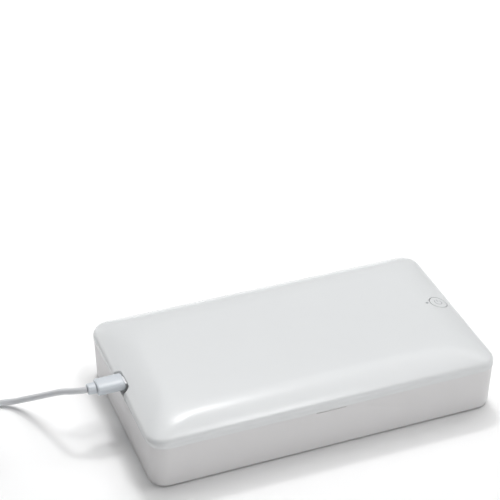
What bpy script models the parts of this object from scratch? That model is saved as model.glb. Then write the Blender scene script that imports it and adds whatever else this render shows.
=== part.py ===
"""Ultraviolet sterilizing box with a lift-off lid, and the charging lead that feeds it.

Metres, +Z up, +X along the box away from its socket. The origin lies under the middle of the box,
on the surface that it stands on. Heights named RISE are measured up from the lid's lower edge.
"""
import math

import bmesh
import bpy
from mathutils import Matrix, Vector

# Gaps between pieces that touch, and how far a cutter runs past what it cuts
SEAT_GAP = 0.0003
OVERRUN = 0.0010
MERGE = 0.0000005

# Box outline
BODY_LENGTH = 0.2000
BODY_WIDTH = 0.1120
CORNER_RADIUS = 0.0105

# Tray
TRAY_HEIGHT = 0.02605
RIM_STEP = 0.0002
TRAY_DRAFT = 0.0008
TRAY_WALL = 0.0036
TRAY_FLOOR = 0.0018
INNER_DRAFT = 0.0014
BASE_FILLET = 0.0012
FLOOR_FILLET = 0.0015
RIM_CHAMFER = 0.0003
FINGER_LENGTH = 0.0200
FINGER_SLOPE = 0.0020
FINGER_DEPTH = 0.0004
FINGER_HEIGHT = 0.0008

# Feet
FOOT_RADIUS = 0.0045
FOOT_THICKNESS = 0.0010
FOOT_PROUD = 0.0005
FOOT_INSET = 0.0170

# Seam and lid edge
SEAM_GAP = 0.0003
EDGE_BAND = 0.0017
EDGE_RADIUS = 0.0034
CROWN_ANGLE = math.radians(29.0)
CROWN_WIDTH = 0.0190
CROWN_CORNER_SHARE = 0.6
COVER_WALL = 0.0020

# Liner that closes the lid from below, with the lip that enters the tray
LIP_CLEARANCE = 0.0004
LIP_DEPTH = 0.0067
LIP_THICKNESS = 0.0016
LIP_CHAMFER = 0.0004
LIP_SLOT_LENGTH = 0.0208
FLANGE_THICKNESS = 0.0015
FLANGE_STEP = 0.0005
PANEL_DROP = 0.0009
PANEL_THICKNESS = 0.0015
RIB_LENGTH = 0.0100
RIB_HEIGHT = 0.0006
RIB_PROUD = 0.0001
RIB_DROP = 0.0012
RIB_PITCH = 0.0385
RIBS_A_SIDE = 5

# Ultraviolet emitters on their strip
WINDOW_SIZE = 0.0036
EMITTERS = 4
EMITTER_CLEARANCE = 0.0003
EMITTER_THICKNESS = 0.0010
EMITTER_DIE = 0.0016
EMITTER_DIE_RISE = 0.0002
STRIP_WIDTH = 0.0120
STRIP_THICKNESS = 0.0008
STRIP_END = 0.0084
STRIP_SPACING = 0.0030

# Notch in the lid's edge and the socket behind it
NOTCH_LENGTH = 0.0196
NOTCH_FLOOR_LENGTH = 0.0150
NOTCH_DEPTH = 0.0038
NOTCH_CORNER = 0.0024
NOTCH_WALL = 0.0012
PORT_RISE = 0.0043
PORT_CLEARANCE = 0.0002
SOCKET_WALL = 0.0003
SOCKET_LENGTH = 0.0050
SOCKET_BACK = 0.0008
SOCKET_FIT = 0.00015
TONGUE_WIDTH = 0.0038
TONGUE_THICKNESS = 0.0005
TONGUE_LENGTH = 0.0034

# Plug on the lead
NOSE_WIDTH = 0.00685
NOSE_HEIGHT = 0.0018
NOSE_WALL = 0.0003
NOSE_LENGTH = 0.0063
NOSE_CORNER = 0.0004
NOSE_POCKET = 0.0037
PLUG_WIDTH = 0.0110
PLUG_HEIGHT = 0.0062
PLUG_CORNER = 0.0026
PLUG_LENGTH = 0.0153
PLUG_EDGE = 0.0007
PLUG_STANDOFF = 0.0011
COLLAR_WIDTH = 0.0066
COLLAR_HEIGHT = 0.0054
COLLAR_LENGTH = 0.0044
COLLAR_CORNER = 0.0026
COLLAR_EDGE = 0.0006

# Pad under the socket, and the interlock that senses the tray's pin
PAD_PROUD = 0.00135
PAD_WIDTH = 0.0180
PAD_REACH = 0.0135
PAD_WALL = 0.0010
PAD_CORNER = 0.0022
INTERLOCK_INSET = 0.0086
SLOT_LENGTH = 0.0030
SLOT_WIDTH = 0.0014
PIN_CLEARANCE = 0.0004
PIN_REACH = 0.0018
BOSS_REACH = 0.0095
BOSS_WIDTH = 0.0200
BOSS_CORNER = 0.0025
SWITCH_LENGTH = 0.0042
SWITCH_WIDTH = 0.0032
SWITCH_HEIGHT = 0.0010
SWITCH_FIT = 0.00015
PLUNGER_LENGTH = 0.0016
PLUNGER_WIDTH = 0.0011
PLUNGER_PROUD = 0.0005
PLUNGER_TRAVEL = 0.00035

# Main board and what it carries
BOARD_THICKNESS = 0.0010
BOARD_LENGTH = 0.0274
BOARD_WIDTH = 0.0340
BOARD_INSET = 0.0066
BOARD_CORNER = 0.0015
CHIP_SIZE = 0.0070
CHIP_HEIGHT = 0.0010
CHIP_Y = 0.0049
INDUCTOR_SIZE = 0.0060
INDUCTOR_HEIGHT = 0.0028
INDUCTOR_CORNER = 0.0014
INDUCTOR_Y = -0.0080
CAPACITOR_LENGTH = 0.0032
CAPACITOR_WIDTH = 0.0016
CAPACITOR_HEIGHT = 0.0016
CAPACITOR_PITCH = 0.0036
CAPACITORS = 3
CONNECTOR_LENGTH = 0.0040
CONNECTOR_WIDTH = 0.0060
CONNECTOR_HEIGHT = 0.0026
CONNECTOR_Y = 0.0045

# Power button, its small board and the indicator
BUTTON_INSET = 0.0096
BUTTON_RADIUS = 0.0050
BUTTON_Y = 0.0012
BUTTON_CLEARANCE = 0.0003
BUTTON_FLANGE = 0.0007
BUTTON_FLANGE_THICKNESS = 0.0008
BUTTON_CEILING_RISE = 0.0044
TACT_SIZE = 0.0045
TACT_HEIGHT = 0.0008
TACT_PLUNGER_RADIUS = 0.0010
TACT_PLUNGER_PROUD = 0.0004
TACT_FIT = 0.00015
KEY_BOARD_THICKNESS = 0.0006
KEY_BOARD_LENGTH = 0.0140
KEY_BOARD_WIDTH = 0.0150
KEY_BOARD_INSET = 0.0066
PIPE_INSET = 0.0167
PIPE_RADIUS = 0.0006
PIPE_FLANGE_RADIUS = 0.0011
PIPE_FLANGE_THICKNESS = 0.0006
PIPE_CLEARANCE = 0.0002
LAMP_LENGTH = 0.0016
LAMP_WIDTH = 0.0010
LAMP_HEIGHT = 0.0007

# Screws
SCREW_RADIUS = 0.0006
SCREW_HEAD_RADIUS = 0.0011
SCREW_HEAD_HEIGHT = 0.0008
SCREW_CLEARANCE = 0.00015
PAD_SCREW_SPACING = 0.0112
PAD_SCREW_LENGTH = 0.0052
POST_RADIUS = 0.0018
BOSS_RADIUS = 0.0014
BOARD_SCREW_LENGTH = 0.0022
BOARD_SCREW_MARGIN = 0.0035

# Wires inside the lid
WIRE_RADIUS = 0.0004
WIRE_PITCH = 0.0013
KEY_WIRES = 3
STRIP_WIRES = 2
WIRE_LANE = 0.0145
WIRE_SWERVE = 0.0180
SLANT_SHARE = 0.7

# Lead
LEAD_DIAMETER = 0.0034
COIL_MEAN_RADIUS = 0.0188
COIL_TURNS = 7.25
COIL_STEP = 0.0039
COIL_CENTRE_X = -0.1970
COIL_CENTRE_Y = 0.0155
LOOP_STEPS = 24
LEAD_SPACING = 0.0068
TAIL_SPACING = 0.0050
TIE_THICKNESS = 0.0006
TIE_WIDTH = 0.0050
TIE_CORNER = 0.0015
TIE_ANGLE = math.radians(-40.0)
TAIL_LENGTH = 0.0290
TAIL_LEVEL = 0.0110

# Plug at the far end of the lead
SUPPLY_BODY_WIDTH = 0.0150
SUPPLY_BODY_HEIGHT = 0.0080
SUPPLY_BODY_LENGTH = 0.0230
SUPPLY_BODY_CORNER = 0.0024
SUPPLY_SHELL_WIDTH = 0.0120
SUPPLY_SHELL_HEIGHT = 0.0045
SUPPLY_SHELL_LENGTH = 0.0118
SUPPLY_SHELL_WALL = 0.0003
SUPPLY_TONGUE_HEIGHT = 0.0018
SUPPLY_RELIEF_LENGTH = 0.0080
SUPPLY_RELIEF_RADIUS = 0.0030
SUPPLY_RELIEF_TIP = 0.0023

# Facets of a quarter turn at the box's corners, of an edge arc, and of round pieces
CORNER_STEPS = 6
ARC_STEPS = 4
CROWN_STEPS = 5
ROUND_SIDES = 24
EDGE_SEGMENTS = 3
SMALL_SIDES = 12

# Levels that the sizes above give
TRAY_BASE = FOOT_PROUD
TRAY_RIM = TRAY_BASE + TRAY_HEIGHT
LID_BASE = TRAY_RIM + SEAM_GAP
FLOOR_TOP = TRAY_BASE + TRAY_FLOOR
LIP_INSET = RIM_STEP + TRAY_WALL + LIP_CLEARANCE
FLANGE_INSET = COVER_WALL + SEAT_GAP
PANEL_BOTTOM = LID_BASE - PANEL_DROP
PANEL_TOP = PANEL_BOTTOM + PANEL_THICKNESS
PAD_BOTTOM = PANEL_BOTTOM - PAD_PROUD
PAD_FLOOR = PAD_BOTTOM + PAD_WALL
BOSS_TOP = PAD_BOTTOM - SEAT_GAP
PORT_Z = LID_BASE + PORT_RISE
SOCKET_WIDTH = NOSE_WIDTH + 2 * SOCKET_FIT + 2 * SOCKET_WALL
SOCKET_HEIGHT = NOSE_HEIGHT + 2 * SOCKET_FIT + 2 * SOCKET_WALL
BOARD_TOP = PORT_Z - SOCKET_HEIGHT / 2 - SEAT_GAP
BOARD_BOTTOM = BOARD_TOP - BOARD_THICKNESS
NOTCH_FACE_X = -BODY_LENGTH / 2 + NOTCH_DEPTH
SOCKET_X = NOTCH_FACE_X + NOTCH_WALL + SEAT_GAP
PLUG_FACE_X = NOTCH_FACE_X - PLUG_STANDOFF
COLLAR_END_X = PLUG_FACE_X - PLUG_LENGTH - SEAT_GAP - COLLAR_LENGTH
INTERLOCK_X = -BODY_LENGTH / 2 + INTERLOCK_INSET
STRIP_REACH = BODY_LENGTH / 2 - BOARD_INSET - BOARD_LENGTH - STRIP_SPACING
WINDOW_PITCH = 2 * (STRIP_REACH - STRIP_END) / (EMITTERS - 1)
BUTTON_X = BODY_LENGTH / 2 - BUTTON_INSET
PIPE_X = BODY_LENGTH / 2 - PIPE_INSET
KEY_BOARD_BOTTOM = PANEL_TOP + SEAT_GAP
KEY_BOARD_TOP = KEY_BOARD_BOTTOM + KEY_BOARD_THICKNESS
COIL_Z = TIE_THICKNESS + SEAT_GAP + LEAD_DIAMETER / 2
COIL_OUTER = COIL_MEAN_RADIUS + COIL_STEP * COIL_TURNS / 4
COIL_INNER = COIL_MEAN_RADIUS - COIL_STEP * COIL_TURNS / 4

# Places that the free lead passes between the plug and the coil, chosen by eye
LEAD_ROUTE = (
    (-0.1215, 0.0006, 0.0309),
    (-0.1250, 0.0038, 0.0292),
    (-0.1278, 0.0087, 0.0262),
    (-0.1314, 0.0145, 0.0219),
    (-0.1356, 0.0209, 0.0168),
    (-0.1399, 0.0270, 0.0119),
    (-0.1443, 0.0326, 0.0075),
    (-0.1491, 0.0370, 0.0041),
    (-0.1541, 0.0400, 0.0024),
    (-0.1600, 0.0414, 0.0019),
    (-0.1700, 0.0416, 0.0019),
    (-0.1800, 0.0415, 0.0023),
)


def clear_scene():
    for item in list(bpy.data.objects):
        bpy.data.objects.remove(item, do_unlink=True)


def new_collection(name):
    found = bpy.data.collections.get(name)
    if found is None:
        found = bpy.data.collections.new(name)
        bpy.context.scene.collection.children.link(found)
    return found


clear_scene()
PARTS = new_collection("uv_sterilization_chamber")
CUTTERS = new_collection("cutters")


def finish(name, colour, roughness, metallic=0.0):
    """One plain material for a sub-part."""
    made = bpy.data.materials.new(name)
    made.use_nodes = True
    shader = made.node_tree.nodes["Principled BSDF"]
    shader.inputs["Base Color"].default_value = (*colour, 1.0)
    shader.inputs["Roughness"].default_value = roughness
    shader.inputs["Metallic"].default_value = metallic
    return made


# Linear colours of the plastics, metals and boards
WHITE_SHELL = (0.75, 0.76, 0.77)
WHITE_LINER = (0.80, 0.81, 0.82)
WHITE_TRAY = (0.68, 0.67, 0.66)
GREY_RUBBER = (0.30, 0.30, 0.31)
PLUG_WHITE = (0.60, 0.64, 0.68)
LEAD_WHITE = (0.45, 0.46, 0.49)
BOARD_GREEN = (0.03, 0.16, 0.07)
BOARD_WHITE = (0.70, 0.72, 0.70)
STEEL = (0.62, 0.62, 0.63)
BLACK = (0.02, 0.02, 0.022)
CERAMIC = (0.78, 0.76, 0.70)
TAN = (0.36, 0.24, 0.14)
NYLON = (0.74, 0.71, 0.62)
CLEAR = (0.85, 0.88, 0.90)
RED = (0.45, 0.03, 0.02)
INDUCTOR_GREY = (0.10, 0.10, 0.11)
TONGUE_WHITE = (0.85, 0.86, 0.88)


def show(item, colour, roughness, metallic=0.0):
    """Files an object among the parts, under its own material."""
    for owner in list(item.users_collection):
        owner.objects.unlink(item)
    PARTS.objects.link(item)
    item.data.materials.clear()
    item.data.materials.append(finish(item.name, colour, roughness, metallic))
    return item


def wrap(name, bm, place=None):
    """Turns a bmesh into an object among the cutters, until show files it as a part."""
    bmesh.ops.remove_doubles(bm, verts=bm.verts, dist=MERGE)
    bmesh.ops.recalc_face_normals(bm, faces=bm.faces)
    mesh = bpy.data.meshes.new(name)
    bm.to_mesh(mesh)
    bm.free()
    item = bpy.data.objects.new(name, mesh)
    CUTTERS.objects.link(item)
    if place is not None:
        item.matrix_world = place
    return item


def box(name, low, high):
    bm = bmesh.new()
    bmesh.ops.create_cube(bm, size=1.0)
    low, high = Vector(low), Vector(high)
    size = high - low
    bmesh.ops.transform(bm, matrix=Matrix.Diagonal((*size, 1.0)), verts=bm.verts)
    return wrap(name, bm, Matrix.Translation((low + high) / 2))


def cylinder(name, radius, low, high, x, y, sides=ROUND_SIDES):
    """An upright cylinder between two heights."""
    bm = bmesh.new()
    bmesh.ops.create_cone(bm, cap_ends=True, segments=sides, radius1=radius, radius2=radius,
                          depth=high - low)
    return wrap(name, bm, Matrix.Translation((x, y, (low + high) / 2)))


def rounded_ring(length, width, radius, height):
    """Points round a rectangle with round corners, counter-clockwise from above."""
    radius = min(radius, length / 2, width / 2)
    points = []
    for quarter in range(4):
        side_x = 1 if quarter in (0, 3) else -1
        side_y = 1 if quarter in (0, 1) else -1
        for step in range(CORNER_STEPS + 1):
            angle = (quarter + step / CORNER_STEPS) * math.pi / 2
            x = side_x * (length / 2 - radius) + radius * math.cos(angle)
            y = side_y * (width / 2 - radius) + radius * math.sin(angle)
            points.append((x, y, height))
    return points


def loft(name, rings, place=None):
    """A closed body through rings of equal count, with a flat cap at each end."""
    bm = bmesh.new()
    loops = [[bm.verts.new(point) for point in ring] for ring in rings]
    count = len(loops[0])
    for lower, upper in zip(loops, loops[1:]):
        for index in range(count):
            after = (index + 1) % count
            bm.faces.new((lower[index], lower[after], upper[after], upper[index]))
    bm.faces.new(loops[0])
    bm.faces.new(loops[-1])
    return wrap(name, bm, place)


def fillet(corners, radii):
    """The outline of a polygon with its corners rounded, all alike or each by its own radius."""
    points = []
    count = len(corners)
    for index, corner in enumerate(corners):
        here = Vector(corner)
        radius = radii[index] if isinstance(radii, tuple) else radii
        if not radius:
            points.append(here)
            continue
        before = (Vector(corners[index - 1]) - here).normalized()
        after = (Vector(corners[(index + 1) % count]) - here).normalized()
        half = before.angle(after) / 2
        reach = radius / math.tan(half)
        centre = here + (before + after).normalized() * radius / math.sin(half)
        start = (here + before * reach - centre).normalized()
        end = (here + after * reach - centre).normalized()
        for step in range(ARC_STEPS + 1):
            points.append(centre + start.slerp(end, step / ARC_STEPS) * radius)
    return points


def plate(name, outlines, low, high, place=None):
    """A flat plate from closed outlines, the first its edge and the others holes in it."""
    curve = bpy.data.curves.new(name, "CURVE")
    curve.dimensions = "2D"
    curve.fill_mode = "BOTH"
    curve.extrude = (high - low) / 2
    for outline in outlines:
        spline = curve.splines.new("POLY")
        spline.points.add(len(outline) - 1)
        for point, knot in zip(outline, spline.points):
            knot.co = (point[0], point[1], 0, 1)
        spline.use_cyclic_u = True
    item = bpy.data.objects.new(name + "_outline", curve)
    CUTTERS.objects.link(item)
    bpy.context.view_layer.update()
    mesh = bpy.data.meshes.new_from_object(item.evaluated_get(bpy.context.evaluated_depsgraph_get()))
    bpy.data.objects.remove(item, do_unlink=True)
    bm = bmesh.new()
    bm.from_mesh(mesh)
    bpy.data.meshes.remove(mesh)
    bmesh.ops.translate(bm, vec=(0, 0, (low + high) / 2), verts=bm.verts)
    return wrap(name, bm, place)


def rectangle(low_x, low_y, high_x, high_y):
    return ((low_x, low_y), (high_x, low_y), (high_x, high_y), (low_x, high_y))


def circle(x, y, radius, sides=SMALL_SIDES):
    turn = 2 * math.pi / sides
    return [(x + radius * math.cos(turn * k), y + radius * math.sin(turn * k)) for k in range(sides)]


def merged(name, items):
    """Several cutters as one."""
    bpy.context.view_layer.update()
    graph = bpy.context.evaluated_depsgraph_get()
    bm = bmesh.new()
    for item in items:
        mesh = bpy.data.meshes.new_from_object(item.evaluated_get(graph))
        mesh.transform(item.matrix_world)
        bm.from_mesh(mesh)
        bpy.data.meshes.remove(mesh)
    for item in items:
        bpy.data.objects.remove(item, do_unlink=True)
    return wrap(name, bm)


def boolean(target, tool, operation):
    bpy.context.view_layer.update()
    step = target.modifiers.new(tool.name, "BOOLEAN")
    step.operation = operation
    step.solver = "EXACT"
    step.object = tool
    tool.hide_render = True
    tool.display_type = "WIRE"


def cut(target, *tools):
    for tool in tools:
        boolean(target, tool, "DIFFERENCE")


def add(target, *tools):
    for tool in tools:
        boolean(target, tool, "UNION")


def smooth(item, angle=math.radians(35.0)):
    item.data.shade_smooth()
    item.data.set_sharp_from_angle(angle=angle)


def along(origin, direction):
    """A frame whose Z runs along a level direction, with its Y up."""
    forward = Vector(direction).normalized()
    up = Vector((0, 0, 1))
    side = up.cross(forward)
    turn = Matrix((side, up, forward)).transposed().to_4x4()
    return Matrix.Translation(Vector(origin)) @ turn


def tube(name, route, radius, resolution):
    """A bevelled poly curve along a route."""
    curve = bpy.data.curves.new(name, "CURVE")
    curve.dimensions = "3D"
    curve.bevel_depth = radius
    curve.bevel_resolution = resolution
    curve.use_fill_caps = True
    spline = curve.splines.new("POLY")
    spline.points.add(len(route) - 1)
    for point, knot in zip(route, spline.points):
        knot.co = (*point, 1)
    item = bpy.data.objects.new(name, curve)
    CUTTERS.objects.link(item)
    return item


def through(points, spacing):
    """Even points on a smooth curve through the given ones."""
    points = [Vector(point) for point in points]
    padded = [2 * points[0] - points[1]] + points + [2 * points[-1] - points[-2]]
    fine = []
    pieces = 24
    for index in range(1, len(padded) - 2):
        a, b, c, d = padded[index - 1:index + 3]
        for step in range(pieces):
            t = step / pieces
            fine.append(0.5 * (2 * b + (c - a) * t + (2 * a - 5 * b + 4 * c - d) * t * t
                               + (3 * b - 3 * c + d - a) * t * t * t))
    fine.append(points[-1])
    lengths = [0.0]
    for first, second in zip(fine, fine[1:]):
        lengths.append(lengths[-1] + (second - first).length)
    count = max(2, round(lengths[-1] / spacing))
    out = []
    index = 0
    for step in range(count + 1):
        want = lengths[-1] * step / count
        while index < len(lengths) - 2 and lengths[index + 1] < want:
            index += 1
        span = lengths[index + 1] - lengths[index]
        share = (want - lengths[index]) / span if span else 0.0
        out.append(fine[index].lerp(fine[index + 1], share))
    return out


def body_ring(inset, height, radius):
    return rounded_ring(BODY_LENGTH - 2 * inset, BODY_WIDTH - 2 * inset, radius, height)


def quarter_arc():
    """Cosine and sine through a quarter turn."""
    turns = [math.pi / 2 * step / ARC_STEPS for step in range(ARC_STEPS + 1)]
    return [(math.cos(turn), math.sin(turn)) for turn in turns]


# Tray


def tray_outer_inset(height):
    return RIM_STEP + TRAY_DRAFT * (TRAY_RIM - height) / TRAY_HEIGHT


def tray_inner_inset(height):
    return RIM_STEP + TRAY_WALL + INNER_DRAFT * (TRAY_RIM - height) / (TRAY_HEIGHT - TRAY_FLOOR)


def tray_ring(inset, height):
    return body_ring(inset, height, CORNER_RADIUS - inset)


def make_tray():
    rings = []
    for cosine, sine in quarter_arc():
        height = FLOOR_TOP + FLOOR_FILLET * (1 - cosine)
        inset = tray_inner_inset(height) + FLOOR_FILLET * (1 - sine)
        rings.append(tray_ring(inset, height))
    low = TRAY_RIM - RIM_CHAMFER
    rings.append(tray_ring(tray_inner_inset(low), low))
    rings.append(tray_ring(tray_inner_inset(TRAY_RIM) - RIM_CHAMFER, TRAY_RIM))
    rings.append(tray_ring(RIM_STEP + RIM_CHAMFER, TRAY_RIM))
    rings.append(tray_ring(tray_outer_inset(low), low))
    for cosine, sine in quarter_arc():
        height = TRAY_BASE + BASE_FILLET * (1 - sine)
        inset = tray_outer_inset(height) + BASE_FILLET * (1 - cosine)
        rings.append(tray_ring(inset, height))
    tray = loft("tray_shell", rings)
    add(tray, interlock_boss())
    cut(tray, finger_recesses(), foot_pockets())
    smooth(tray)
    return show(tray, WHITE_TRAY, 0.35)


def interlock_boss():
    """A block on the tray's end wall that carries the pin."""
    wall = -BODY_LENGTH / 2 + RIM_STEP + TRAY_WALL / 2
    end = -BODY_LENGTH / 2 + BOSS_REACH
    corners = (0.0, BOSS_CORNER, BOSS_CORNER, 0.0)
    outline = fillet(rectangle(wall, -BOSS_WIDTH / 2, end, BOSS_WIDTH / 2), corners)
    boss = plate("interlock_boss", [outline], FLOOR_TOP - TRAY_FLOOR / 2, BOSS_TOP)
    half_length = SLOT_LENGTH / 2 - PIN_CLEARANCE
    half_width = SLOT_WIDTH / 2 - PIN_CLEARANCE
    pin = box("interlock_pin", (INTERLOCK_X - half_length, -half_width, BOSS_TOP - OVERRUN),
              (INTERLOCK_X + half_length, half_width, BOSS_TOP + PIN_REACH))
    add(boss, pin)
    return boss


def finger_recesses():
    """Shallow recesses in the rim's outer edge, where a fingernail lifts the lid."""
    tools = []
    floor = TRAY_RIM - FINGER_HEIGHT
    half, slope = FINGER_LENGTH / 2, FINGER_SLOPE
    for name, turn, reach in (("front", -90, BODY_WIDTH / 2), ("back", 90, BODY_WIDTH / 2),
                              ("right", 0, BODY_LENGTH / 2)):
        face = reach - RIM_STEP
        depth = face - FINGER_DEPTH
        outline = ((depth, slope - half), (face + OVERRUN, -half - slope), (face + OVERRUN, half + slope),
                   (depth, half - slope))
        place = Matrix.Rotation(math.radians(turn), 4, "Z")
        tools.append(plate("finger_" + name, [outline], floor, TRAY_RIM + OVERRUN, place))
    return merged("finger_recesses", tools)


def foot_places():
    x = BODY_LENGTH / 2 - FOOT_INSET
    y = BODY_WIDTH / 2 - FOOT_INSET
    return {"front_left": (-x, -y), "front_right": (x, -y), "back_left": (-x, y), "back_right": (x, y)}


def foot_pockets():
    tools = []
    top = FOOT_THICKNESS + SEAT_GAP
    for name, (x, y) in foot_places().items():
        tools.append(cylinder("pocket_" + name, FOOT_RADIUS + SEAT_GAP, -OVERRUN, top, x, y))
    return merged("foot_pockets", tools)


def make_feet():
    for name, (x, y) in foot_places().items():
        foot = cylinder("foot_" + name, FOOT_RADIUS, 0, FOOT_THICKNESS, x, y)
        smooth(foot)
        show(foot, GREY_RUBBER, 0.85)


# Lid cover


def lid_profile(offset=0.0):
    """Inset and height of the lid's edge line, from the band up, moved inwards by an offset."""
    points = [(offset, 0.0), (offset, EDGE_BAND)]
    turn = math.pi / 2 - CROWN_ANGLE
    bend = EDGE_RADIUS - offset
    for step in range(1, ARC_STEPS + 1):
        angle = turn * step / ARC_STEPS
        points.append((EDGE_RADIUS - bend * math.cos(angle), EDGE_BAND + bend * math.sin(angle)))
    crown = CROWN_WIDTH / math.sin(CROWN_ANGLE)
    centre_inset, centre_height = crown_centre()
    for step in range(1, CROWN_STEPS + 1):
        slope = CROWN_ANGLE * (1 - step / CROWN_STEPS)
        reach = crown - offset
        points.append((centre_inset - reach * math.sin(slope), centre_height + reach * math.cos(slope)))
    return points


def crown_centre():
    """Centre of the crown's arc, as inset and height."""
    turn = math.pi / 2 - CROWN_ANGLE
    crown = CROWN_WIDTH / math.sin(CROWN_ANGLE)
    inset = EDGE_RADIUS * (1 - math.cos(turn)) + crown * math.sin(CROWN_ANGLE)
    height = EDGE_BAND + EDGE_RADIUS * math.sin(turn) - crown * math.cos(CROWN_ANGLE)
    return inset, height


def crown_rise(inset):
    """Height of the crown above the lid's lower edge, at an inset from its side."""
    centre_inset, centre_height = crown_centre()
    crown = CROWN_WIDTH / math.sin(CROWN_ANGLE)
    across = max(0.0, centre_inset - inset)
    return centre_height + math.sqrt(crown * crown - across * across)


def lid_rings(offset, base):
    """Rings of the lid's surface or of one a wall inside it, from a base height up."""
    outer = lid_profile()
    inner = lid_profile(offset)
    edge = EDGE_RADIUS * (1 - math.sin(CROWN_ANGLE))
    rings = []
    for (inset, _), (place, height) in zip(outer, inner):
        radius = CORNER_RADIUS - min(inset, edge) + CROWN_CORNER_SHARE * max(0.0, inset - edge)
        rise = height if height > 0 else base - LID_BASE
        rings.append(body_ring(place, LID_BASE + rise, radius - (place - inset)))
    return rings


def lid_solid(name, offset=0.0, base=LID_BASE):
    return loft(name, lid_rings(offset, base))


def notch_outline(extra):
    """Plan of the notch in the lid's edge, widened by a wall."""
    face = NOTCH_FACE_X + extra
    edge = -BODY_LENGTH / 2
    inner = NOTCH_FLOOR_LENGTH / 2 + extra
    outer = NOTCH_LENGTH / 2 + extra
    flare = (outer - inner) / NOTCH_DEPTH
    past = OVERRUN + extra
    far = outer + flare * past
    return fillet(((face, -inner), (face, inner), (edge - past, far), (edge - past, -far)), NOTCH_CORNER)


def socket_room():
    """Room in the cover for the socket and the board behind the notch."""
    half = SOCKET_WIDTH / 2 + SEAT_GAP
    return box("socket_room", (NOTCH_FACE_X + NOTCH_WALL, -half, LID_BASE - OVERRUN),
               (SOCKET_X + SOCKET_LENGTH + SEAT_GAP, half, PORT_Z + SOCKET_HEIGHT / 2 + SEAT_GAP))


def port_hole():
    half_width = NOSE_WIDTH / 2 + PORT_CLEARANCE
    half_height = NOSE_HEIGHT / 2 + PORT_CLEARANCE
    return box("port_hole", (NOTCH_FACE_X - OVERRUN, -half_width, PORT_Z - half_height),
               (NOTCH_FACE_X + NOTCH_WALL + OVERRUN, half_width, PORT_Z + half_height))


def button_openings():
    """The button's hole, and the flat-roofed room for its flange."""
    ceiling = LID_BASE + BUTTON_CEILING_RISE
    hole = cylinder("button_hole", BUTTON_RADIUS + BUTTON_CLEARANCE, LID_BASE, lid_top() + OVERRUN,
                    BUTTON_X, BUTTON_Y)
    room = cylinder("button_room", BUTTON_RADIUS + BUTTON_FLANGE + BUTTON_CLEARANCE, LID_BASE - OVERRUN,
                    ceiling, BUTTON_X, BUTTON_Y)
    pipe = cylinder("pipe_hole", PIPE_RADIUS + PIPE_CLEARANCE, LID_BASE, lid_top() + OVERRUN, PIPE_X,
                    BUTTON_Y, SMALL_SIDES)
    return hole, room, pipe


def lid_top():
    return LID_BASE + lid_profile()[-1][1]


def pad_screw_places():
    return [(INTERLOCK_X, side * PAD_SCREW_SPACING / 2) for side in (-1, 1)]


def make_cover():
    cover = lid_solid("lid_cover")
    cavity = lid_solid("cover_cavity", COVER_WALL, LID_BASE - OVERRUN)
    walls = plate("notch_walls", [notch_outline(NOTCH_WALL)], LID_BASE - 2 * OVERRUN, lid_top() + OVERRUN)
    cut(cavity, walls)
    for index, (x, y) in enumerate(pad_screw_places()):
        cut(cavity, cylinder("cover_boss_%d" % index, BOSS_RADIUS, BOARD_TOP + SEAT_GAP, lid_top(), x, y))
    cut(cover, cavity)
    notch = plate("notch", [notch_outline(0.0)], LID_BASE - OVERRUN, lid_top() + OVERRUN)
    cut(cover, notch, socket_room(), port_hole(), *button_openings())
    top = PAD_FLOOR + PAD_SCREW_LENGTH + SEAT_GAP
    for index, (x, y) in enumerate(pad_screw_places()):
        cut(cover, cylinder("cover_pilot_%d" % index, SCREW_RADIUS + SCREW_CLEARANCE, LID_BASE, top, x, y,
                            SMALL_SIDES))
    smooth(cover, math.radians(25.0))
    return show(cover, WHITE_SHELL, 0.28)


# Liner


def lip_inset(height):
    """The lip follows the tray's inner draft, its clearance away."""
    return LIP_INSET + INNER_DRAFT * (TRAY_RIM - min(height, TRAY_RIM)) / (TRAY_HEIGHT - TRAY_FLOOR)


def liner_ring(inset, height):
    return body_ring(inset, height, max(CORNER_RADIUS - inset, LIP_CHAMFER))


def make_liner():
    tip = LID_BASE - LIP_DEPTH
    shoulder = tip + LIP_CHAMFER
    flange_top = LID_BASE + FLANGE_THICKNESS
    inner_panel = lip_inset(PANEL_BOTTOM) + LIP_THICKNESS
    inner_step = LIP_INSET + LIP_THICKNESS
    rings = [
        liner_ring(inner_panel, PANEL_BOTTOM),
        liner_ring(lip_inset(shoulder) + LIP_THICKNESS, shoulder),
        liner_ring(lip_inset(tip) + LIP_THICKNESS - LIP_CHAMFER, tip),
        liner_ring(lip_inset(tip) + LIP_CHAMFER, tip),
        liner_ring(lip_inset(shoulder), shoulder),
        liner_ring(LIP_INSET, LID_BASE),
        liner_ring(FLANGE_INSET, LID_BASE),
        liner_ring(FLANGE_INSET, flange_top),
        liner_ring(inner_step, flange_top),
        liner_ring(inner_step + FLANGE_STEP, PANEL_TOP),
    ]
    liner = loft("lid_liner", rings)
    add(liner, pad_block(), standing_posts())
    cut(liner, pad_pocket(), lip_slot(), notch_clearance())
    add(liner, pad_posts())
    cut(liner, liner_holes(), slot_and_windows())
    add(liner, friction_ribs())
    smooth(liner)
    return show(liner, WHITE_LINER, 0.32)


def pad_edges():
    """Outer face, inner face and half width of the pad."""
    outer = -BODY_LENGTH / 2 + LIP_INSET + LIP_THICKNESS / 2
    return outer, -BODY_LENGTH / 2 + PAD_REACH, PAD_WIDTH / 2


def pad_block():
    outer, inner, half = pad_edges()
    outline = fillet(rectangle(outer, -half, inner, half), (0.0, PAD_CORNER, PAD_CORNER, 0.0))
    return plate("pad_block", [outline], PAD_BOTTOM, PANEL_BOTTOM + PANEL_THICKNESS / 2)


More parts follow.
